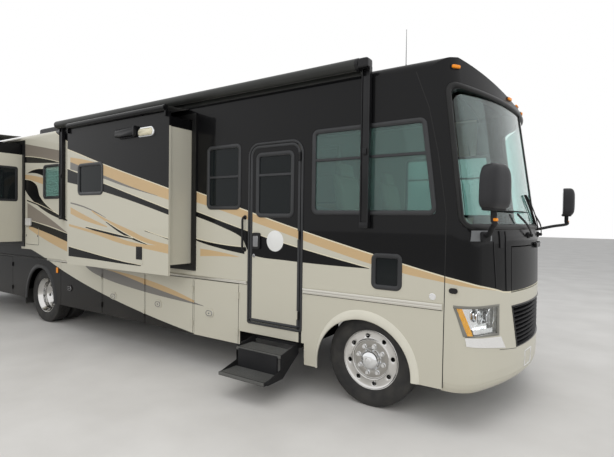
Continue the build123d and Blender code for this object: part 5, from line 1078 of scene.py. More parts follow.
def make_headlamps():
    """Lamp bowls and an amber strip behind a clear lens that follows the front's corner."""
    inner, head_end, foot_end, foot, head = 0.975, 1.442, 1.338, 0.847, 1.098
    outline = framed_outline([(inner, foot), (foot_end, foot), (head_end, head), (inner, head)])
    bezel = framed_outline([(0.948, 0.832), (1.366, 0.852), (1.452, 1.113), (0.958, 1.108)])

    def inside(gap, outer_gap):
        return [(inner + gap, foot + gap), (foot_end - outer_gap, foot + gap),
                (head_end - outer_gap, head - gap), (inner + gap, head - gap)]

    for side, word in ((RIGHT, "right"), (LEFT, "left")):
        at = front_of(side)
        data = bmesh.new()
        skin(data, loops_of(at, bezel, ((0, -0.002), (0, 0.003), (0.004, 0.005)))
             + loops_of(at, outline, ((0.006, 0.005), (0.010, 0.002), (0.010, -0.055))))
        frame_piece = finish_mesh(f"{word}_headlamp_frame", data, "root", LAMP_HOUSING, 40)
        if side == RIGHT:
            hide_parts("lamps")
        bowls, bulbs = bmesh.new(), bmesh.new()
        slab(bowls, at, inside(0.005, 0.055), -0.060, -0.055, 20, 4)
        slab(bowls, at, [(inner + 0.02, 0.862), (foot_end - 0.075, 0.862), (foot_end - 0.06, 0.905),
                         (inner + 0.02, 0.905)], -0.055, -0.022, 20, 3)
        for reach, z, radius in ((1.0652, 1.003, 0.078), (1.212, 1.012, 0.060)):
            out = Vector(at(reach, z, 1.0)) - Vector(at(reach, z, 0.0))
            axis = out + Vector((1.2, 0, 0))
            spin(bowls, [(radius, 0.034), (radius - 0.003, 0.036), (radius - 0.006, 0.033),
                         (radius * 0.8, 0.016), (radius * 0.5, 0.004), (0.016, -0.001)], at(reach, z, -0.050),
                 axis, 40)
            spin(bulbs, [(0.016, -0.004), (0.016, 0.012), (0.012, 0.020), (0.004, 0.024)],
                 at(reach, z, -0.050), axis, 24)
        finish_mesh(f"{word}_headlamp_bowls", bowls, "root", CHROME)
        finish_mesh(f"{word}_headlamp_bulbs", bulbs, "root", BULB, 40)
        panel(f"{word}_turn_strip", TURN_AMBER, at,
              [(foot_end - 0.062, foot + 0.008), (foot_end - 0.010, foot + 0.008),
               (head_end - 0.010, head - 0.008), (head_end - 0.062, head - 0.008)], -0.030, -0.008, 6, 8)
        panel(f"{word}_headlamp_lens", CLEAR_LENS, at, inside(0.009, 0.009),
              -0.005, -0.002, 28, 6)


def make_small_lamps():
    """Clearance lamps on both brows, side markers and the tail lamps."""
    amber, red, black = bmesh.new(), bmesh.new(), bmesh.new()
    for y, z in ((-1.19, 3.165), (-0.36, 3.035), (0.0, 3.035), (0.36, 3.035), (1.19, 3.165)):
        point, out = brow(y, z)
        turn = out.to_track_quat("X", "Z").to_matrix()
        rounded_block(amber, point + out * 0.004, (0.034, 0.084, 0.030), 0.4, turn, 24, 12)
        rounded_block(black, point - out * 0.001, (0.012, 0.096, 0.040), 0.3, turn, 24, 12)
        rounded_block(red, (REAR_X - 0.006, y, 3.118), (0.030, 0.084, 0.030), 0.4, None, 24, 12)
        rounded_block(black, (REAR_X, y, 3.118), (0.010, 0.096, 0.040), 0.3, None, 24, 12)
    for side in (RIGHT, LEFT):
        at = wall_face(side)
        pad(black, at, box_outline(place(0.793), place(0.867), 1.212, 1.258, 0.0225, 6), -0.001, 0.012, 0.004)
        pad(black, at, box_outline(place(-5.626), place(-5.560), 0.889, 0.991, 0.012), -0.001, 0.007, 0.001)
        pad(amber, at, box_outline(place(-5.620), place(-5.566), 0.895, 0.985, 0.010), 0.005, 0.016, 0.004)
    finish_mesh("amber_lamps", amber, "root", AMBER, 40)
    finish_mesh("rear_clearance_lamps", red, "root", RED, 40)
    finish_mesh("lamp_bases", black, "root", BLACK_TRIM, 40)
    back = end_face(REAR_X, -1)
    for side, word in ((RIGHT, "right"), (LEFT, "left")):
        low, high = sorted((side * 1.011, side * 1.149))
        moulding(f"{word}_tail_lamp_frame", "root", BLACK_TRIM, back,
                 box_outline(low, high, 0.821, 1.259),
                 ((0, -0.012), (0, 0.004), (0.003, 0.006), (0.010, 0.006), (0.012, -0.011)))
        for part, foot, head, material in (("stop", 1.115, 1.247, RED), ("turn", 0.975, 1.110, AMBER),
                                           ("tail", 0.895, 0.970, RED),
                                           ("reverse", 0.833, 0.890, CLEAR_LENS)):
            plates(f"{word}_{part}_lamp", "root", "lamp_lens", material, back,
                   (box_outline(low + 0.013, high - 0.013, foot, head, 0.012), -0.008, 0.010, 0.005))


# Mirrors as (word, side, place, toe-in angle)
MIRRORS = (("right", RIGHT, 1.183, 24), ("left", LEFT, 1.470, 6))


def make_mirrors():
    """Two mirrors with soft black shells on bent arms, each with a small amber lamp."""
    for word, side, x, toe in MIRRORS:
        centre = Vector((place(x), side * 1.5, 2.096))
        turn = Matrix.Rotation(math.radians(side * toe), 3, "Z")
        data = bmesh.new()
        rounded_block(data, centre, (0.176, 0.256, 0.352), 0.52, turn, 72, 36, 0.15)
        for vert in data.verts:
            local = turn.transposed() @ (vert.co - centre)
            if local.x < -0.042:
                local.x = -0.042 + (local.x + 0.042) * 0.08
                vert.co = centre + turn @ local
        shell = finish_mesh(f"{word}_mirror_shell", data, "root", MIRROR_BLACK, 60)
        if side == RIGHT:
            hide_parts("mirrors")

        def back(a, b, proud):
            return centre + turn @ Vector((-0.044 - proud, a, b))

        outline = rounded_outline([(-0.110, -0.148), (0.110, -0.148), (0.084, 0.148), (-0.084, 0.148)], 0.04)
        plates(f"{word}_mirror_glass", "root", "mirror_housing", MIRROR_GLASS, back, (outline, -0.002, 0.005))
        data = bmesh.new()
        rounded_block(data, centre - Vector((0, 0, 0.168)), (0.110, 0.205, 0.034), 0.5, turn, 48, 14)
        root = Vector(nose(side * along_of(1.13), 1.70))
        knee = Vector((place(x), side * 1.5, 1.815))
        line = [root, root + Vector((0.05, side * 0.06, 0.02)),
                root.lerp(knee, 0.6) + Vector((0.02, 0, 0.012)), knee + Vector((0, -side * 0.045, -0.004)),
                knee + Vector((0, -side * 0.006, 0.035)), knee + Vector((0, 0, 0.115))]
        sweep(data, smooth_path(line), circle(0.0235, 16, 0.75))
        rounded_block(data, root + Vector((0.006, side * 0.008, 0)), (0.05, 0.11, 0.09), 0.45,
                      Matrix.Rotation(math.radians(side * 30), 3, "Z"), 32, 16)
        finish_mesh(f"{word}_mirror_arm", data, "root", MATT_BLACK, 40)
        data = bmesh.new()
        rounded_block(data, knee + turn @ Vector((0.018, 0, 0.030)), (0.026, 0.036, 0.024), 0.4, turn, 24, 12)
        finish_mesh(f"{word}_mirror_lamp", data, "root", AMBER, 40)


def glass_point(y, z, proud):
    """A point on the windshield at a reach and height."""
    return Vector(nose(math.copysign(along_of(abs(y)), y), z, proud))


def make_gasket():
    """A round rubber bead about the windshield, with a slim bar down its middle."""
    foot, head = 1.760, 2.980
    foot_half, head_half = along_at(0.868, foot), along_at(0.722, head)
    corners = [(-foot_half, foot), (foot_half, foot), (head_half, head), (-head_half, head)]
    # Towards the top corners the bead rises up to 6 cm above the glass, so the black paint it encloses there
    # is painted shade at the top of the windshield.
    outline = [(a, b + 0.060 * (a / head_half) ** 2 * max(0.0, (b - foot) / (head - foot)))
               for a, b in refined(rounded_outline(corners, 0.105, 8), 0.05)]
    data = bmesh.new()
    bead = [(0.0, -0.006), (0.0, 0.002), (0.004, 0.009), (0.012, 0.015), (0.024, 0.018), (0.036, 0.015),
            (0.044, 0.009), (0.049, 0.001), (0.050, -0.008), (0.050, -0.022), (0.008, -0.022),
            (0.008, -0.006)]
    skin(data, loops_of(nose, outline, bead), around=True)
    bar = [nose(0.0, foot + 0.04 + (head - foot - 0.08) * j / 12, -0.004) for j in range(13)]
    sweep(data, bar, [(-0.009, -0.010), (0.009, -0.010), (0.008, 0.004), (0.004, 0.007), (-0.004, 0.007),
                      (-0.008, 0.004)], over=(1, 0, 0))
    piece = finish_mesh("windshield_bead", data, "root", GASKET, 40)
    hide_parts("windshield_gasket")


def make_wipers():
    """Two wipers: a pivot on the cowl, a bent arm, and a blade with its spine."""
    wipers = (("near", (-0.36, 1.705), (-0.63, 1.905), (-0.33, 1.925), (-0.90, 1.930)),
              ("far", (0.16, 1.705), (-0.07, 1.900), (0.11, 1.750), (-0.29, 2.095)))
    for word, pivot, hold, start, end in wipers:
        data = bmesh.new()
        out = glass_point(*pivot, 1.0) - glass_point(*pivot, 0.0)
        spin(data, [(0.030, 0.0), (0.030, 0.012), (0.022, 0.018), (0.016, 0.020), (0.016, 0.040),
                    (0.010, 0.046)],
             glass_point(*pivot, -0.002), out, 24)
        arm = [glass_point(*pivot, 0.036), glass_point(*between(pivot, hold, 0.5), 0.050),
               glass_point(*hold, 0.028)]
        sweep(data, smooth_path(arm), [(-0.011, -0.004), (0.011, -0.004), (0.008, 0.005), (-0.008, 0.005)],
              over=out)
        steps = [i / 12 for i in range(13)]
        spine = [glass_point(*between(start, end, t), 0.016 + 0.012 * math.sin(math.pi * t)) for t in steps]
        sweep(data, spine, [(-0.005, -0.004), (0.005, -0.004), (0.003, 0.005), (-0.003, 0.005)], over=out)
        edge = [glass_point(*between(start, end, t), 0.006) for t in steps]
        sweep(data, edge, [(-0.006, -0.010), (0.006, -0.010), (0.003, 0.009), (-0.003, 0.009)], over=out)
        finish_mesh(f"{word}_wiper", data, "root", MATT_BLACK, 40)


def panel_edge(line, middle, spring, rear, front, top):
    """The edge of the flat panel about a wheel opening, one point for each point of its line."""
    edge = []
    for a, b in line:
        if b <= spring:
            edge.append((rear if a < middle else front, b))
            continue
        away, up = a - middle, b - spring
        reach = [(top - spring) / up]
        if abs(away) > 0.001:
            reach.append(((rear if away < 0 else front) - middle) / away)
        edge.append((middle + away * min(reach), spring + up * min(reach)))
    return edge


# Wheel openings as (word, centre, half width and rise, flare's rear half, front half and rise, spring height,
# panel's rear, front and top, heights of the feet, flare's depth)
ARCHES = (("front", -0.030, (0.497, 0.472), (0.520, 0.575, 0.567), 0.40, (-0.690, 0.748, 1.052),
           (0.315, 0.372), 0.016),
          ("rear", -6.147, (0.450, 0.537), (0.530, 0.530, 0.613), 0.40, (-7.144, -5.506, 1.080),
           (0.380, 0.380), 0.018))


def arch_line(centre, rear_half, front_half, rise, spring, feet, steps=48):
    """Round wheel opening in side view from its rear foot over the top to its front foot."""
    line = [(place(centre - rear_half), feet[0] + (spring - feet[0]) * i / 3) for i in range(3)]
    for i in range(steps + 1):
        cos = math.cos(math.pi * i / steps)
        half = rear_half if cos > 0 else front_half
        line.append((place(centre - half * cos), spring + rise * math.sin(math.pi * i / steps)))
    line += [(place(centre + front_half), spring - (spring - feet[1]) * i / 3) for i in range(1, 4)]
    return line


def make_arches():
    """Painted panels with round wheel openings, with a cream flare in front, its lightness partly a painted
    highlight, and a dark one at the rear.
    """
    for word, side in (("right", RIGHT), ("left", LEFT)):
        at = wall_face(side)
        panels = bmesh.new()
        for place_word, centre, (half, crown), outer, spring, (rear, front, top), feet, proud in ARCHES:
            line = arch_line(centre, half, half, crown, spring, feet)
            edge = panel_edge(line, place(centre), spring, place(rear), place(front), top)
            skin(panels, [[at(a, b, proud_here) for a, b in points] for points, proud_here in
                          ((line, -0.012), (line, 0.001), (edge, 0.001), (edge, -0.002))], closed=False)
            wide = arch_line(centre, *outer, spring, feet)
            rows = [[at(*between(near, far, share), 0.0005 + proud * rise) for near, far in zip(line, wide)]
                    for share, rise in ((0.0, 0.0), (0.0, 0.5), (0.06, 0.8), (0.16, 1.0), (0.5, 0.86),
                                        (0.8, 0.55), (0.95, 0.2), (1.0, 0.0))]
            flares = bmesh.new()
            made = skin(flares, rows, closed=False, around=True)
            flares.faces.new([row[0] for row in made])
            flares.faces.new([row[-1] for row in made][::-1])
            slot, material = "black_trim", FLARE_GREY
            # The front flare's cream is partly a painted highlight on the raised flare.
            if place_word == "front":
                slot, material = "body_paint", FLARE_CREAM_AND_HIGHLIGHT
            flare = finish_mesh(f"{word}_{place_word}_arch_flare", flares, "root", material, 50)
            if side == RIGHT and place_word == "front":
                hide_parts("body_trim")
        finish_mesh(f"{word}_arch_panels", panels, "root", PAINT, 30)


def make_wall_fittings():
    """Grab handle by the door, the wall hatch and outlet box, and the flaps behind the rear wheels."""
    at = wall_face(RIGHT)
    data = bmesh.new()
    x = place(-1.525)
    bow = ((0.002, 1.476), (0.030, 1.480), (0.045, 1.510), (0.045, 1.60), (0.045, 1.72), (0.045, 1.81),
           (0.030, 1.840), (0.002, 1.844))
    line = [(x, RIGHT * (WALL_Y + out), z) for out, z in bow]
    sweep(data, smooth_path(line, 5), circle(0.0125, 14), over=(1, 0, 0))
    for z in (1.478, 1.842):
        spin(data, [(0.026, -0.001), (0.026, 0.005), (0.020, 0.009), (0.013, 0.010)], (x, RIGHT * WALL_Y, z),
             (0, RIGHT, 0), 24)
    finish_mesh("grab_handle", data, "root", BLACK_TRIM, 40)
    plates("wall_hatch", "root", "body_paint", PAINT, at,
           (box_outline(place(-6.665), place(-6.220), 1.330, 1.630, 0.022), -0.001, 0.004))
    moulding("wall_hatch_seam", "root", GASKET, at,
             box_outline(place(-6.672), place(-6.213), 1.323, 1.637, 0.028),
             ((0, -0.001), (0, 0.0015), (0.006, 0.0015), (0.0065, -0.001)))
    plates("wall_outlet_box", "root", "roof_plastic", VENT_WHITE, at,
           (box_outline(place(-6.655), place(-6.475), 1.655, 1.785, 0.018), -0.001, 0.026, 0.008),
           (box_outline(place(-6.635), place(-6.495), 1.672, 1.716, 0.010), 0.024, 0.029, 0.003))
    data = bmesh.new()
    for side in (RIGHT, LEFT):
        low, high = sorted((side * 0.72, side * 1.24))
        rows = []
        for i in range(13):
            z = 0.25 + 0.73 * i / 12
            bend = 0.010 * (1 - z / 0.98) ** 2
            rear, front = place(-6.765) - bend, place(-6.757) - bend
            rows.append([(rear, low, z), (rear, high, z), (front, high, z), (front, low, z)])
        skin(data, rows, caps=True)
    finish_mesh("mud_flaps", data, "root", TYRE, 40)


# Sides


def door_outline():
    """The entry door frame's outside, tall with wide head corners."""
    rear, front, foot, head = place(-1.478), place(-0.724), 0.641, 2.672
    small, wide = (box_outline(rear, front, foot, head, radius, 8) for radius in (0.03, 0.150))
    middle = (foot + head) / 2
    return refined([s if s[1] < middle else w for s, w in zip(small, wide)], 0.2)


def make_door_frame():
    """A rounded black frame on the wall and a second one on the door's own edge."""
    at = wall_face(RIGHT)
    data = bmesh.new()
    skin(data, loops_of(at, door_outline(),
                        ((0.0, -0.001), (0.0, 0.004), (0.003, 0.009), (0.010, 0.0125), (0.020, 0.0125),
                         (0.026, 0.009), (0.028, 0.003), (0.028, -0.028), (0.006, -0.028), (0.006, -0.001))),
         around=True)
    fixed = finish_mesh("door_frame", data, "root", FRAME_BLACK, 40)
    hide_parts("entry_door_frame")
    moulding("door_edge_frame", "entry_door", FRAME_BLACK, at, door_outline(),
             ((0.035, 0.003), (0.035, 0.007), (0.038, 0.011), (0.045, 0.0135), (0.057, 0.0135),
              (0.064, 0.010), (0.067, 0.004)))


def make_door_fittings():
    """Latch box with its paddle, key lock and the bare round place under the door's window."""
    at = wall_face(RIGHT, DOOR_FACE)
    plates("door_latch_box", "entry_door", "black_trim", BLACK_TRIM, at,
           (box_outline(place(-1.400), place(-1.290), 1.490, 1.672, 0.022), -0.001, 0.0235, 0.006))
    data = bmesh.new()
    pad(data, at, box_outline(place(-1.382), place(-1.312), 1.515, 1.640, 0.014), 0.020, 0.030, 0.005)
    spin(data, [(0.020, 0.0), (0.020, 0.007), (0.016, 0.010), (0.006, 0.010), (0.005, 0.007),
                (0.0005, 0.007)],
         (place(-1.384), RIGHT * DOOR_FACE, 1.415), (0, RIGHT, 0), 28)
    finish_mesh("door_paddle", data, "entry_door", DARK_CHROME, 40)
    turned("door_blank_disc", "entry_door", "trim", WHITE_PLATE, (place(-1.089), RIGHT * DOOR_FACE, 1.589),
           RIGHT, [(0.114, -0.001), (0.114, 0.0012), (0.113, 0.0016), (0.0005, 0.0016)], 64)


def make_bay_latches():
    """A latch plate in the door's colour with a bright oval paddle ring and lock on every baggage door."""
    places = (-2.36, -3.32, -4.32, -5.50, -8.15)
    for word, side, rears in (("right", RIGHT, places), ("left", LEFT, places[:-1])):
        at = wall_face(side, BAY_FACE)
        for number, rear in enumerate(rears, 1):
            body = f"{word}_bay_door_{number}"
            x = place(rear + 0.28)
            plates(body + "_latch_plate", body, "body_paint", PAINT, at,
                   (box_outline(x - 0.074, x + 0.074, 0.629, 0.725, 0.044), -0.001, 0.0095, 0.004))
            data = bmesh.new()
            skin(data, loops_of(at, box_outline(x - 0.054, x + 0.054, 0.643, 0.711, 0.033),
                                ((0, 0.006), (0, 0.0125), (0.002, 0.0150), (0.007, 0.0150), (0.009, 0.0070))))
            spin(data, [(0.0095, 0.009), (0.0095, 0.0150), (0.007, 0.0165), (0.0005, 0.0165)],
                 (x, side * BAY_FACE, 0.677), (0, side, 0), 20)
            finish_mesh(body + "_paddle", data, body, DARK_CHROME, 40)


def make_side_trim():
    """Moulded rub rails with two ribs, black at the rear and deeper ahead of the door, open where it is, each
    with a thin black strip under it as painted shadow.
    """
    for word, side in (("right", RIGHT), ("left", LEFT)):
        gap_rear, gap_front = (-1.485, -0.716) if side == RIGHT else (-0.725, -0.725)
        runs = [(-9.39, RAIL_SPLIT, 1.083), (RAIL_SPLIT, gap_rear, 1.083), (gap_front, 0.740, 1.058)]
        light, rear_black, dark = bmesh.new(), bmesh.new(), bmesh.new()
        for rear, front, foot in runs:
            middle = foot + (1.113 - foot) * 0.45
            rail = [(0.0005, foot), (0.006, foot), (0.0095, foot + 0.003), (0.0105, middle - 0.006),
                    (0.0085, middle - 0.002), (0.0085, middle + 0.001), (0.0135, middle + 0.006),
                    (0.0145, 1.106), (0.0120, 1.112), (0.006, 1.115), (0.0005, 1.116)]
            skin(rear_black if front == RAIL_SPLIT else light,
                 [[(x, side * (WALL_Y + out), z) for out, z in rail] for x in (place(rear), place(front))],
                 caps=True)
            # A thin black strip along each run's foot is painted shadow under the rail.
            pad(dark, wall_face(side), box_outline(place(rear) + 0.002, place(front) - 0.002, foot - 0.005,
                                                   foot + 0.002, 0.001, 1), -0.001, 0.003, 0.0005)
        finish_mesh(f"{word}_rub_rail", light, "root", SILVER_PAINT, 30)
        finish_mesh(f"{word}_rear_rub_rail", rear_black, "root", BLACK_TRIM, 30)
        finish_mesh(f"{word}_rub_rail_shadow_lip", dark, "root", GASKET, 30)


def make_room_fittings():
    """Vent hood, porch lamp and lower hatch on the right front room, with the wall hatch's latches."""
    at = wall_face(RIGHT, FRONT_ROOM_FACE)
    body = "right_front_slide"
    data = bmesh.new()
    low, high = place(-3.365), place(-2.985)
    hood = [(0.0, 2.842), (0.062, 2.845), (0.067, 2.852), (0.067, 2.900), (0.062, 2.926), (0.046, 2.944),
            (0.0, 2.956)]
    rows = []
    for x, trim_in in ((low, 0.004), (low + 0.004, 0.0), (high - 0.004, 0.0), (high, 0.004)):
        rows.append([at(x, z, max(0.0, out - trim_in)) for out, z in hood])
    skin(data, rows, closed=False, caps=True)
    for i in range(9):
        x = low + 0.03 + i * 0.036
        pad(data, at, box_outline(x, x + 0.024, 2.826, 2.842, 0.003, 2), -0.001, 0.020)
    rounded_block(data, (high + 0.004, RIGHT * (FRONT_ROOM_FACE + 0.032), 2.893), (0.026, 0.074, 0.136), 0.4,
                  None, 32, 16)
    fittings = finish_mesh("room_vent_hood", data, body, BLACK_TRIM, 40)
    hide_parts("right_front_slide_fittings")
    lamp = box_outline(place(-2.958), place(-2.642), 2.808, 2.932, 0.060, 10)
    moulding("porch_lamp_bezel", body, CHROME, at, lamp,
             ((0, -0.001), (0, 0.012), (0.004, 0.020), (0.018, 0.023), (0.025, 0.012)))
    data = bmesh.new()
    pad(data, at, inset_outline(lamp, 0.024), 0.004, 0.038, 0.016)
    finish_mesh("porch_lamp_lens", data, body, FROSTED, 50)
    plates("room_hatch", body, "trim", PAINT, at,
           (box_outline(place(-3.300), place(-2.855), 1.245, 1.480), -0.001, 0.005))
    louvres = [(box_outline(place(-2.982), place(-2.876), z, z + 0.009, 0.002, 2), 0.007, 0.013)
               for z in (1.314 + i * 0.018 for i in range(8))]
    plates("room_hatch_vent", body, "black_trim", BLACK_TRIM, at,
           (box_outline(place(-2.990), place(-2.868), 1.300, 1.462, 0.010), 0.004, 0.008), *louvres)
    latches = [(box_outline(x - 0.012, x + 0.012, 1.460, 1.500, 0.008), 0.003, 0.009, 0.003)
               for x in (place(-6.640), place(-6.245))]
    plates("hatch_latches", "root", "bright_metal", DARK_CHROME, wall_face(RIGHT), *latches)


def make_awning():
    """The rolled awning in its curved cover, its end caps, and two channel arms on the wall."""
    reach, z = 1.351, 3.288
    rear, front = place(-5.47), place(-0.07)
    data = bmesh.new()
    section = arc(0.060, range(-75, 196, 15)) + arc(0.056, range(195, -76, -15))
    skin(data, [[(x, RIGHT * (reach + a), z + b) for a, b in section]
                for x in (rear, rear + 0.003, front - 0.003, front)], caps=True)
    cover_piece = finish_mesh("awning_cover", data, "root", AWNING_BLACK, 30)
    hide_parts("patio_awning")
    data = bmesh.new()
    spin(data, [(0.052, 0.0), (0.052, front - rear - 0.02)], (rear + 0.01, RIGHT * reach, z), (1, 0, 0), 40)
    finish_mesh("awning_roll", data, "root", TOPPER, 40)
    data = bmesh.new()
    rail = [(0.0005, 3.205), (0.009, 3.205), (0.012, 3.209), (0.012, 3.232), (0.009, 3.236), (0.009, 3.322),
            (0.012, 3.326), (0.012, 3.336), (0.0, 3.338), (0.0, 3.250)]
    skin(data, [[(x, RIGHT * (WALL_Y + a), b) for a, b in rail] for x in (rear, front)], caps=True)
    finish_mesh("awning_rail", data, "root", AWNING_BLACK, 30)
    data = bmesh.new()
    for x, sign in ((rear, -1), (front, 1)):
        spin(data, [(0.0605, -0.02), (0.0605, 0.006), (0.056, 0.012), (0.030, 0.014), (0.026, 0.020),
                    (0.010, 0.021)],
             (x, RIGHT * reach, z), (sign, 0, 0), 40)
    rounded_block(data, (place(-0.018), RIGHT * (reach - 0.01), z), (0.125, 0.118, 0.094))
    finish_mesh("awning_end_caps", data, "root", BLACK_TRIM, 40)
    data = bmesh.new()
    channel = [(-0.044, 1.293), (-0.044, 1.343), (-0.040, 1.346), (-0.032, 1.343), (-0.032, 1.302),
               (0.032, 1.302), (0.032, 1.343), (0.040, 1.346), (0.044, 1.343), (0.044, 1.293)]
    for x, foot in ((place(0.0), 1.754), (place(-5.40), 1.780)):
        skin(data, [[(x + a, RIGHT * b, height) for a, b in channel] for height in (foot, 3.262)], caps=True)
        for half, near, far, low, high, bevel in (
                (0.030, 1.304, 1.338, foot + 0.03, 3.18, 0.004),
                (0.046, 1.285, 1.350, foot - 0.004, foot + 0.055, 0.006),
                (0.022, 1.335, 1.354, 2.44, 2.50, 0.005),
                (0.026, 1.283, 1.300, foot + 0.015, foot + 0.075, 0.003),
                (0.026, 1.283, 1.300, 3.09, 3.15, 0.003)):
            box_mesh(data, (x - half, RIGHT * far, low), (x + half, RIGHT * near, high), bevel)
    finish_mesh("awning_arms", data, "root", BLACK_TRIM, 30)


# Toppers as (word, side, rear, front, roller's reach, height at the wall and the roller, joint, travel)
TOPPERS = (("right_front", RIGHT, -4.52, -2.47, 1.674, 3.181, 3.156, "right_front_slide_travel", 0.321),
           ("right_rear", RIGHT, -9.14, -6.845, 2.049, 3.241, 3.216, "right_rear_slide_travel", 0.696),
           ("left", LEFT, -8.84, -1.79, 2.049, 3.181, 3.156, "left_slide_travel", 0.696))


def make_toppers():
    """Stretched fabric from the roof's edge to each room's roller, sagging slightly between them."""
    start = WALL_Y + 0.001
    columns, rows = 60, 12
    for word, side, rear, front, reach, inner_z, outer_z, joint, travel in TOPPERS:

        def spot(u, t, thick):
            sag = 0.010 * math.sin(math.pi * t) * (0.75 + 0.25 * math.sin(math.pi * u))
            ripple = 0.0012 * math.sin(u * 46) * math.sin(math.pi * t)
            return (place(rear) + (front - rear) * u, side * (start + (reach - start) * t),
                    inner_z + (outer_z - inner_z) * t + thick - sag + ripple)

        data = bmesh.new()
        layers = [[[spot(i / columns, j / rows, thick) for i in range(columns + 1)] for j in range(rows + 1)]
                  for thick in (0.0, 0.0018)]
        two_layers(data, *layers)
        cloth = finish_mesh(f"{word}_topper", data, "root", TOPPER, 60)
        if word == "right_front":
            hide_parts("slide_topper_fabric")
        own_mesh(cloth)


def make_step_ribs():
    """Grip ribs and a light nosing on both treads of the entry step."""
    ribs, nosings = bmesh.new(), bmesh.new()
    for inner, outer, top in ((1.300, 1.555, 0.450), (1.560, 1.820, 0.250)):
        for i in range(11):
            y = inner + 0.022 + (outer - inner - 0.055) * i / 10
            box_mesh(ribs, (place(-1.372), RIGHT * (y + 0.005), top - 0.001),
                     (place(-0.808), RIGHT * (y - 0.005), top + 0.003), 0.0012, 1)
        box_mesh(nosings, (place(-1.388), RIGHT * (outer + 0.0015), top - 0.030),
                 (place(-0.792), RIGHT * (outer - 0.010), top + 0.003), 0.002)
    finish_mesh("step_ribs", ribs, "entry_step", STEP_GREY, 30)
    finish_mesh("step_nosings", nosings, "entry_step", STEP_GREY, 30)


# Roof and rear


def make_roof_fittings():
    """Air conditioner shrouds with louvres, vent lids, and the aerial."""
    shroud, dark = bmesh.new(), bmesh.new()
    for rear in (-8.39, -3.0):
        middle = place(rear + 0.57)
        rounded_block(shroud, (middle, 0, 3.445), (1.140, 0.700, 0.270), 0.16, None, 80, 24)
        rounded_block(shroud, (middle + 0.02, 0, 3.580), (1.020, 0.620, 0.218), 0.24, None, 80, 24)
        for i in range(9):
            y = -0.24 + i * 0.06
            box_mesh(dark, (middle - 0.571, y - 0.018, 3.43), (middle - 0.55, y + 0.018, 3.52), 0.003, 1)
        for side in (-1, 1):
            for i in range(10):
                x = middle - 0.36 + i * 0.08
                box_mesh(dark, (x - 0.026, side * 0.351, 3.42), (x + 0.026, side * 0.336, 3.50), 0.003, 1)
        box_mesh(dark, (middle - 0.55, -0.33, ROOF_TOP), (middle + 0.55, 0.33, 3.36), 0.004)
    shroud_piece = finish_mesh("air_conditioner_shrouds", shroud, "root", SHROUD, 45)
    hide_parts("roof_equipment")
    finish_mesh("air_conditioner_louvres", dark, "root", MATT_BLACK, 30)
    data = bmesh.new()
    for x in (-9.2, -5.2):
        centre = place(x)
        box_mesh(data, (centre - 0.20, -0.20, ROOF_TOP), (centre + 0.20, 0.20, 3.375), 0.006)
        rounded_block(data, (centre, 0, 3.393), (0.408, 0.408, 0.072), 0.3, None, 48, 18)
    finish_mesh("roof_vents", data, "root", VENT_WHITE, 45)
    data = bmesh.new()
    x, y = place(0.258), -1.0
    spin(data, [(0.030, 0.0), (0.030, 0.012), (0.016, 0.030), (0.008, 0.040), (0.006, 0.060), (0.0035, 0.07),
                (0.0018, 0.39), (0.003, 0.395), (0.003, 0.399)], (x, y, 3.270), (0, 0, 1), 20)
    finish_mesh("aerial", data, "root", MATT_BLACK, 40)


def make_rear_details():
    """Bumper strip, blank number plate with its lamps, panel seams and a camera housing."""
    back = end_face(REAR_X, -1)
    plates("rear_bumper_strip", "root", "black_rubber", GASKET, end_face(REAR_BUMPER_X, -1),
           (box_outline(-1.08, 1.08, 0.500, 0.545, 0.012), -0.002, 0.008, 0.004))
    data = bmesh.new()
    pad(data, back, box_outline(-0.20, 0.20, 0.86, 1.03, 0.015), -0.001, 0.008, 0.003)
    for y in (-0.09, 0.09):
        box_mesh(data, (REAR_X - 0.030, y - 0.030, 1.034), (REAR_X + 0.002, y + 0.030, 1.060), 0.005)
    finish_mesh("rear_plate_holder", data, "root", BLACK_TRIM, 40)
    plates("rear_blank_plate", "root", "trim", WHITE_PLATE, back,
           (box_outline(-0.155, 0.155, 0.872, 1.022, 0.010), 0.006, 0.0095, 0.001))
    data = bmesh.new()
    for start, end, steps, width in (((-1.14, 2.95), (1.14, 2.95), 4, 0.006),
                                     ((-0.86, 0.70), (-0.86, 1.40), 2, 0.005),
                                     ((0.42, 0.70), (0.42, 1.40), 2, 0.005),
                                     ((-0.86, 1.40), (0.42, 1.40), 2, 0.005)):
        ribbon(data, back, divided([start, end], steps), width, -0.002, 0.001)
    finish_mesh("rear_seams", data, "root", GASKET, 40)
    data = bmesh.new()
    rounded_block(data, (REAR_X - 0.018, 0.33, 3.02), (0.070, 0.090, 0.060), 0.35, None, 32, 16)
    finish_mesh("rear_camera_housing", data, "root", MATT_BLACK, 40)


# Cab


def make_steering_wheel():
    """Wheel rim, three spokes and a padded boss on a tilted column."""
    centre = Vector((place(0.225), 0.560, 1.655))
    turn = Matrix.Rotation(math.radians(-62), 3, "Y")
    axis = turn @ Vector((0, 0, 1))
    data = bmesh.new()
    rings = []
    for a, b in circle(0.212, 64):
        point = centre + turn @ Vector((a, b, 0))
        out = (point - centre).normalized()
        rings.append([point + out * p + axis * q for p, q in circle(0.0145, 14)])
    skin(data, rings, around=True)
    rounded_block(data, centre - axis * 0.012, (0.15, 0.13, 0.05), 0.5, turn, 32, 16)
    for a, b in ((0, 0.205), (0, -0.205), (-0.205, 0)):
        tip = centre + turn @ Vector((a, b, 0))
        sweep(data, smooth_path([centre - axis * 0.014, centre.lerp(tip, 0.5) - axis * 0.01, tip], 4),
              [(-0.018, -0.006), (0.018, -0.006), (0.018, 0.006), (-0.018, 0.006)], over=axis)
    finish_mesh("steering_wheel", data, "root", DASH, 40)


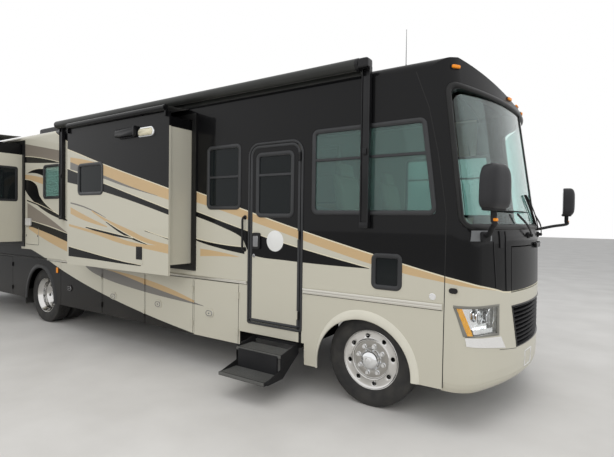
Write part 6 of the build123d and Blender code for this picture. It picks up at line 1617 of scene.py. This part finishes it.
def cushion(data, centre, size, turn, channels, along):
    """A crowned pad whose sides pull in between its corners, with sewn channels across it."""
    half = Vector(size) / 2
    steps = [-1 + 2 * i / 30 for i in range(31)]
    top, bottom = [], []
    for v in steps:
        top.append([])
        bottom.append([])
        for u in steps:
            edge = (1 - abs(u) ** 7) * (1 - abs(v) ** 7)
            crown = 0.62 + 0.38 * (1 - u * u) * (1 - v * v)
            groove = sum(math.exp(-(((u if along == "x" else v) - (-1 + 2 * k / channels)) / 0.045) ** 2)
                         for k in range(1, channels))
            x = half.x * u * (1 - 0.05 * (1 - v * v) * abs(u))
            y = half.y * v * (1 - 0.04 * (1 - u * u) * abs(v))
            for layer, height in ((top, crown * edge ** 0.45 - 0.16 * groove * edge),
                                  (bottom, -edge ** 0.45)):
                point = Vector((x, y, half.z * height))
                layer[-1].append(Vector(centre) + (turn @ point if turn else point))
    for layer in (top, bottom):
        skin(data, layer, closed=False)
    bmesh.ops.remove_doubles(data, verts=data.verts, dist=0.0008)


def make_pad(name, centre, size, turn, channels, along):
    """A stuffed leather piece of a seat."""
    data = bmesh.new()
    cushion(data, centre, size, turn, channels, along)
    finish_mesh(name, data, "root", SEAT, 70)


def make_seats():
    """Two cab seats: pedestal, and padded cushion, back, headrest and armrests on posts."""
    x = place(-0.29)
    lean = Matrix.Rotation(math.radians(-100), 3, "Y")
    for word, y in (("right", -0.600), ("left", 0.600)):
        data = bmesh.new()
        rounded_block(data, (x, y, 1.33), (0.42, 0.38, 0.33), 0.25, None, 40, 16)
        box_mesh(data, (x - 0.25, y - 0.25, 1.485), (x + 0.24, y + 0.25, 1.515), 0.01)
        base = finish_mesh(f"{word}_seat_base", data, "root", DASH, 40)
        if word == "right":
            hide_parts("cab_seats")
        for part, centre, size, turn, channels, along in (
                ("cushion", (x, y, 1.582), (0.535, 0.530, 0.135), None, 3, "y"),
                ("back", (x - 0.262, y, 1.965), (0.76, 0.510, 0.145), lean, 4, "x"),
                ("headrest", (x - 0.332, y, 2.385), (0.17, 0.300, 0.115), lean, 1, "x")):
            make_pad(f"{word}_seat_{part}", centre, size, turn, channels, along)
        for sign, end in ((-1, "outer"), (1, "inner")):
            make_pad(f"{word}_seat_{end}_armrest", (x - 0.02, y + sign * 0.263, 1.762), (0.375, 0.066, 0.056),
                     None, 1, "x")
            data = bmesh.new()
            middle = y + sign * 0.268
            box_mesh(data, (x - 0.20, middle - 0.014, 1.54), (x - 0.165, middle + 0.014, 1.745), 0.004)
            finish_mesh(f"{word}_seat_{end}_post", data, "root", DASH, 40)


def make_dash_details():
    """Instrument hood, vents and a centre panel on the dashboard."""
    data = bmesh.new()
    rounded_block(data, (place(0.56), 0.56, 1.735), (0.24, 0.56, 0.11), 0.42, None, 48, 20)
    finish_mesh("instrument_hood", data, "root", DASH, 45)
    vents = [(box_outline(y - 0.06, y + 0.06, 1.50, 1.57, 0.01), -0.02, 0.006, 0.003)
             for y in (-0.85, -0.35, 0.05, 0.95)]
    plates("dash_vents", "root", "black_trim", BLACK_TRIM, end_face(place(0.472), -1), *vents,
           (box_outline(-0.18, 0.20, 1.30, 1.46, 0.015), -0.04, 0.004, 0.003))


# Stage


def make_stage():
    """A pale floor, and a sky that is white where it is seen, mirrored or looked through."""
    floor = bpy.data.meshes.new("stage_floor")
    data = bmesh.new()
    bmesh.ops.create_grid(data, x_segments=2, y_segments=2, size=60)
    data.to_mesh(floor)
    data.free()
    stage = bpy.data.objects.new("stage_floor", floor)
    bpy.context.scene.collection.objects.link(stage)
    m = Nodes("pale_floor")
    tone = m.ramp(m.noise(1.2, 4), (0.3, (0.60, 0.58, 0.55)), (0.7, (0.68, 0.66, 0.63)))
    stage.data.materials.append(m.set(Base_Color=tone, Roughness=0.8))

    world = bpy.data.worlds.new("studio")
    bpy.context.scene.world = world
    world.use_nodes = True
    sky = Tree(world.node_tree)
    sky.tree.nodes.clear()
    path = sky.add("ShaderNodeLightPath").outputs
    seen = sky.math("MAXIMUM", path["Is Glossy Ray"], path["Is Transmission Ray"])
    soft = sky.add("ShaderNodeBackground", i0=(0.93, 0.96, 1.0), i1=0.62).outputs[0]
    white = sky.add("ShaderNodeBackground", i0=(1, 1, 1), i1=1.0).outputs[0]
    shown = sky.add("ShaderNodeMixShader", i0=sky.math("MAXIMUM", path["Is Camera Ray"], seen), i1=soft,
                    i2=white)
    sky.add("ShaderNodeOutputWorld", i0=shown.outputs[0])


def area_light(name, location, target, size, power, colour=(1, 1, 1)):
    """A rectangular softbox that lights but isn't mirrored."""
    light = bpy.data.lights.new(name, "AREA")
    light.shape = "RECTANGLE"
    light.size, light.size_y = size
    light.energy = power
    light.color = colour
    lamp = bpy.data.objects.new(name, light)
    lamp.visible_glossy = False
    lamp.location = location
    lamp.rotation_euler = (Vector(target) - Vector(location)).to_track_quat("-Z", "Y").to_euler()
    bpy.context.scene.collection.objects.link(lamp)


def make_lights():
    """Softboxes above, beside and ahead."""
    area_light("overhead_softbox", (4, -2, 11), (1, 0, 0), (16, 12), 620)
    area_light("side_softbox", (5, -12, 6), (1, 0, 1.5), (12, 6), 420, (1, 0.98, 0.95))
    area_light("front_softbox", (14, 2, 5), (4, 0, 1.5), (8, 6), 240)


def make_camera():
    """A camera 1.8 m up, off the right front corner."""
    yaw, pitch, roll = math.radians(33.70), math.radians(-1.12), math.radians(0.78)
    forward = Vector((-math.sin(yaw) * math.cos(pitch), math.cos(yaw) * math.cos(pitch), math.sin(pitch)))
    right = forward.cross(Vector((0, 0, 1))).normalized()
    up = right.cross(forward)
    tilted_right = math.cos(roll) * right + math.sin(roll) * up
    tilted_up = -math.sin(roll) * right + math.cos(roll) * up
    camera = bpy.data.cameras.new("camera")
    camera.sensor_width = 36
    camera.lens = 26.36
    camera.clip_end = 200
    view = bpy.data.objects.new("camera", camera)
    turn = Matrix((tilted_right, tilted_up, -forward)).transposed()
    view.matrix_world = Matrix.Translation((6.055, -5.153, 1.825)) @ turn.to_4x4()
    bpy.context.scene.collection.objects.link(view)
    bpy.context.scene.camera = view


dress_nodes()
make_windows()
make_wheels()
make_grille()
make_front_lip()
make_front_trim()
make_headlamps()
make_small_lamps()
make_mirrors()
make_gasket()
make_wipers()
make_arches()
make_wall_fittings()
make_door_frame()
make_door_fittings()
make_bay_latches()
make_side_trim()
make_room_fittings()
make_awning()
make_toppers()
make_step_ribs()
make_roof_fittings()
make_rear_details()
make_steering_wheel()
make_seats()
make_dash_details()
make_stage()
make_lights()
make_camera()
bpy.context.scene.view_settings.view_transform = "Standard"

bpy.context.view_layer.update()
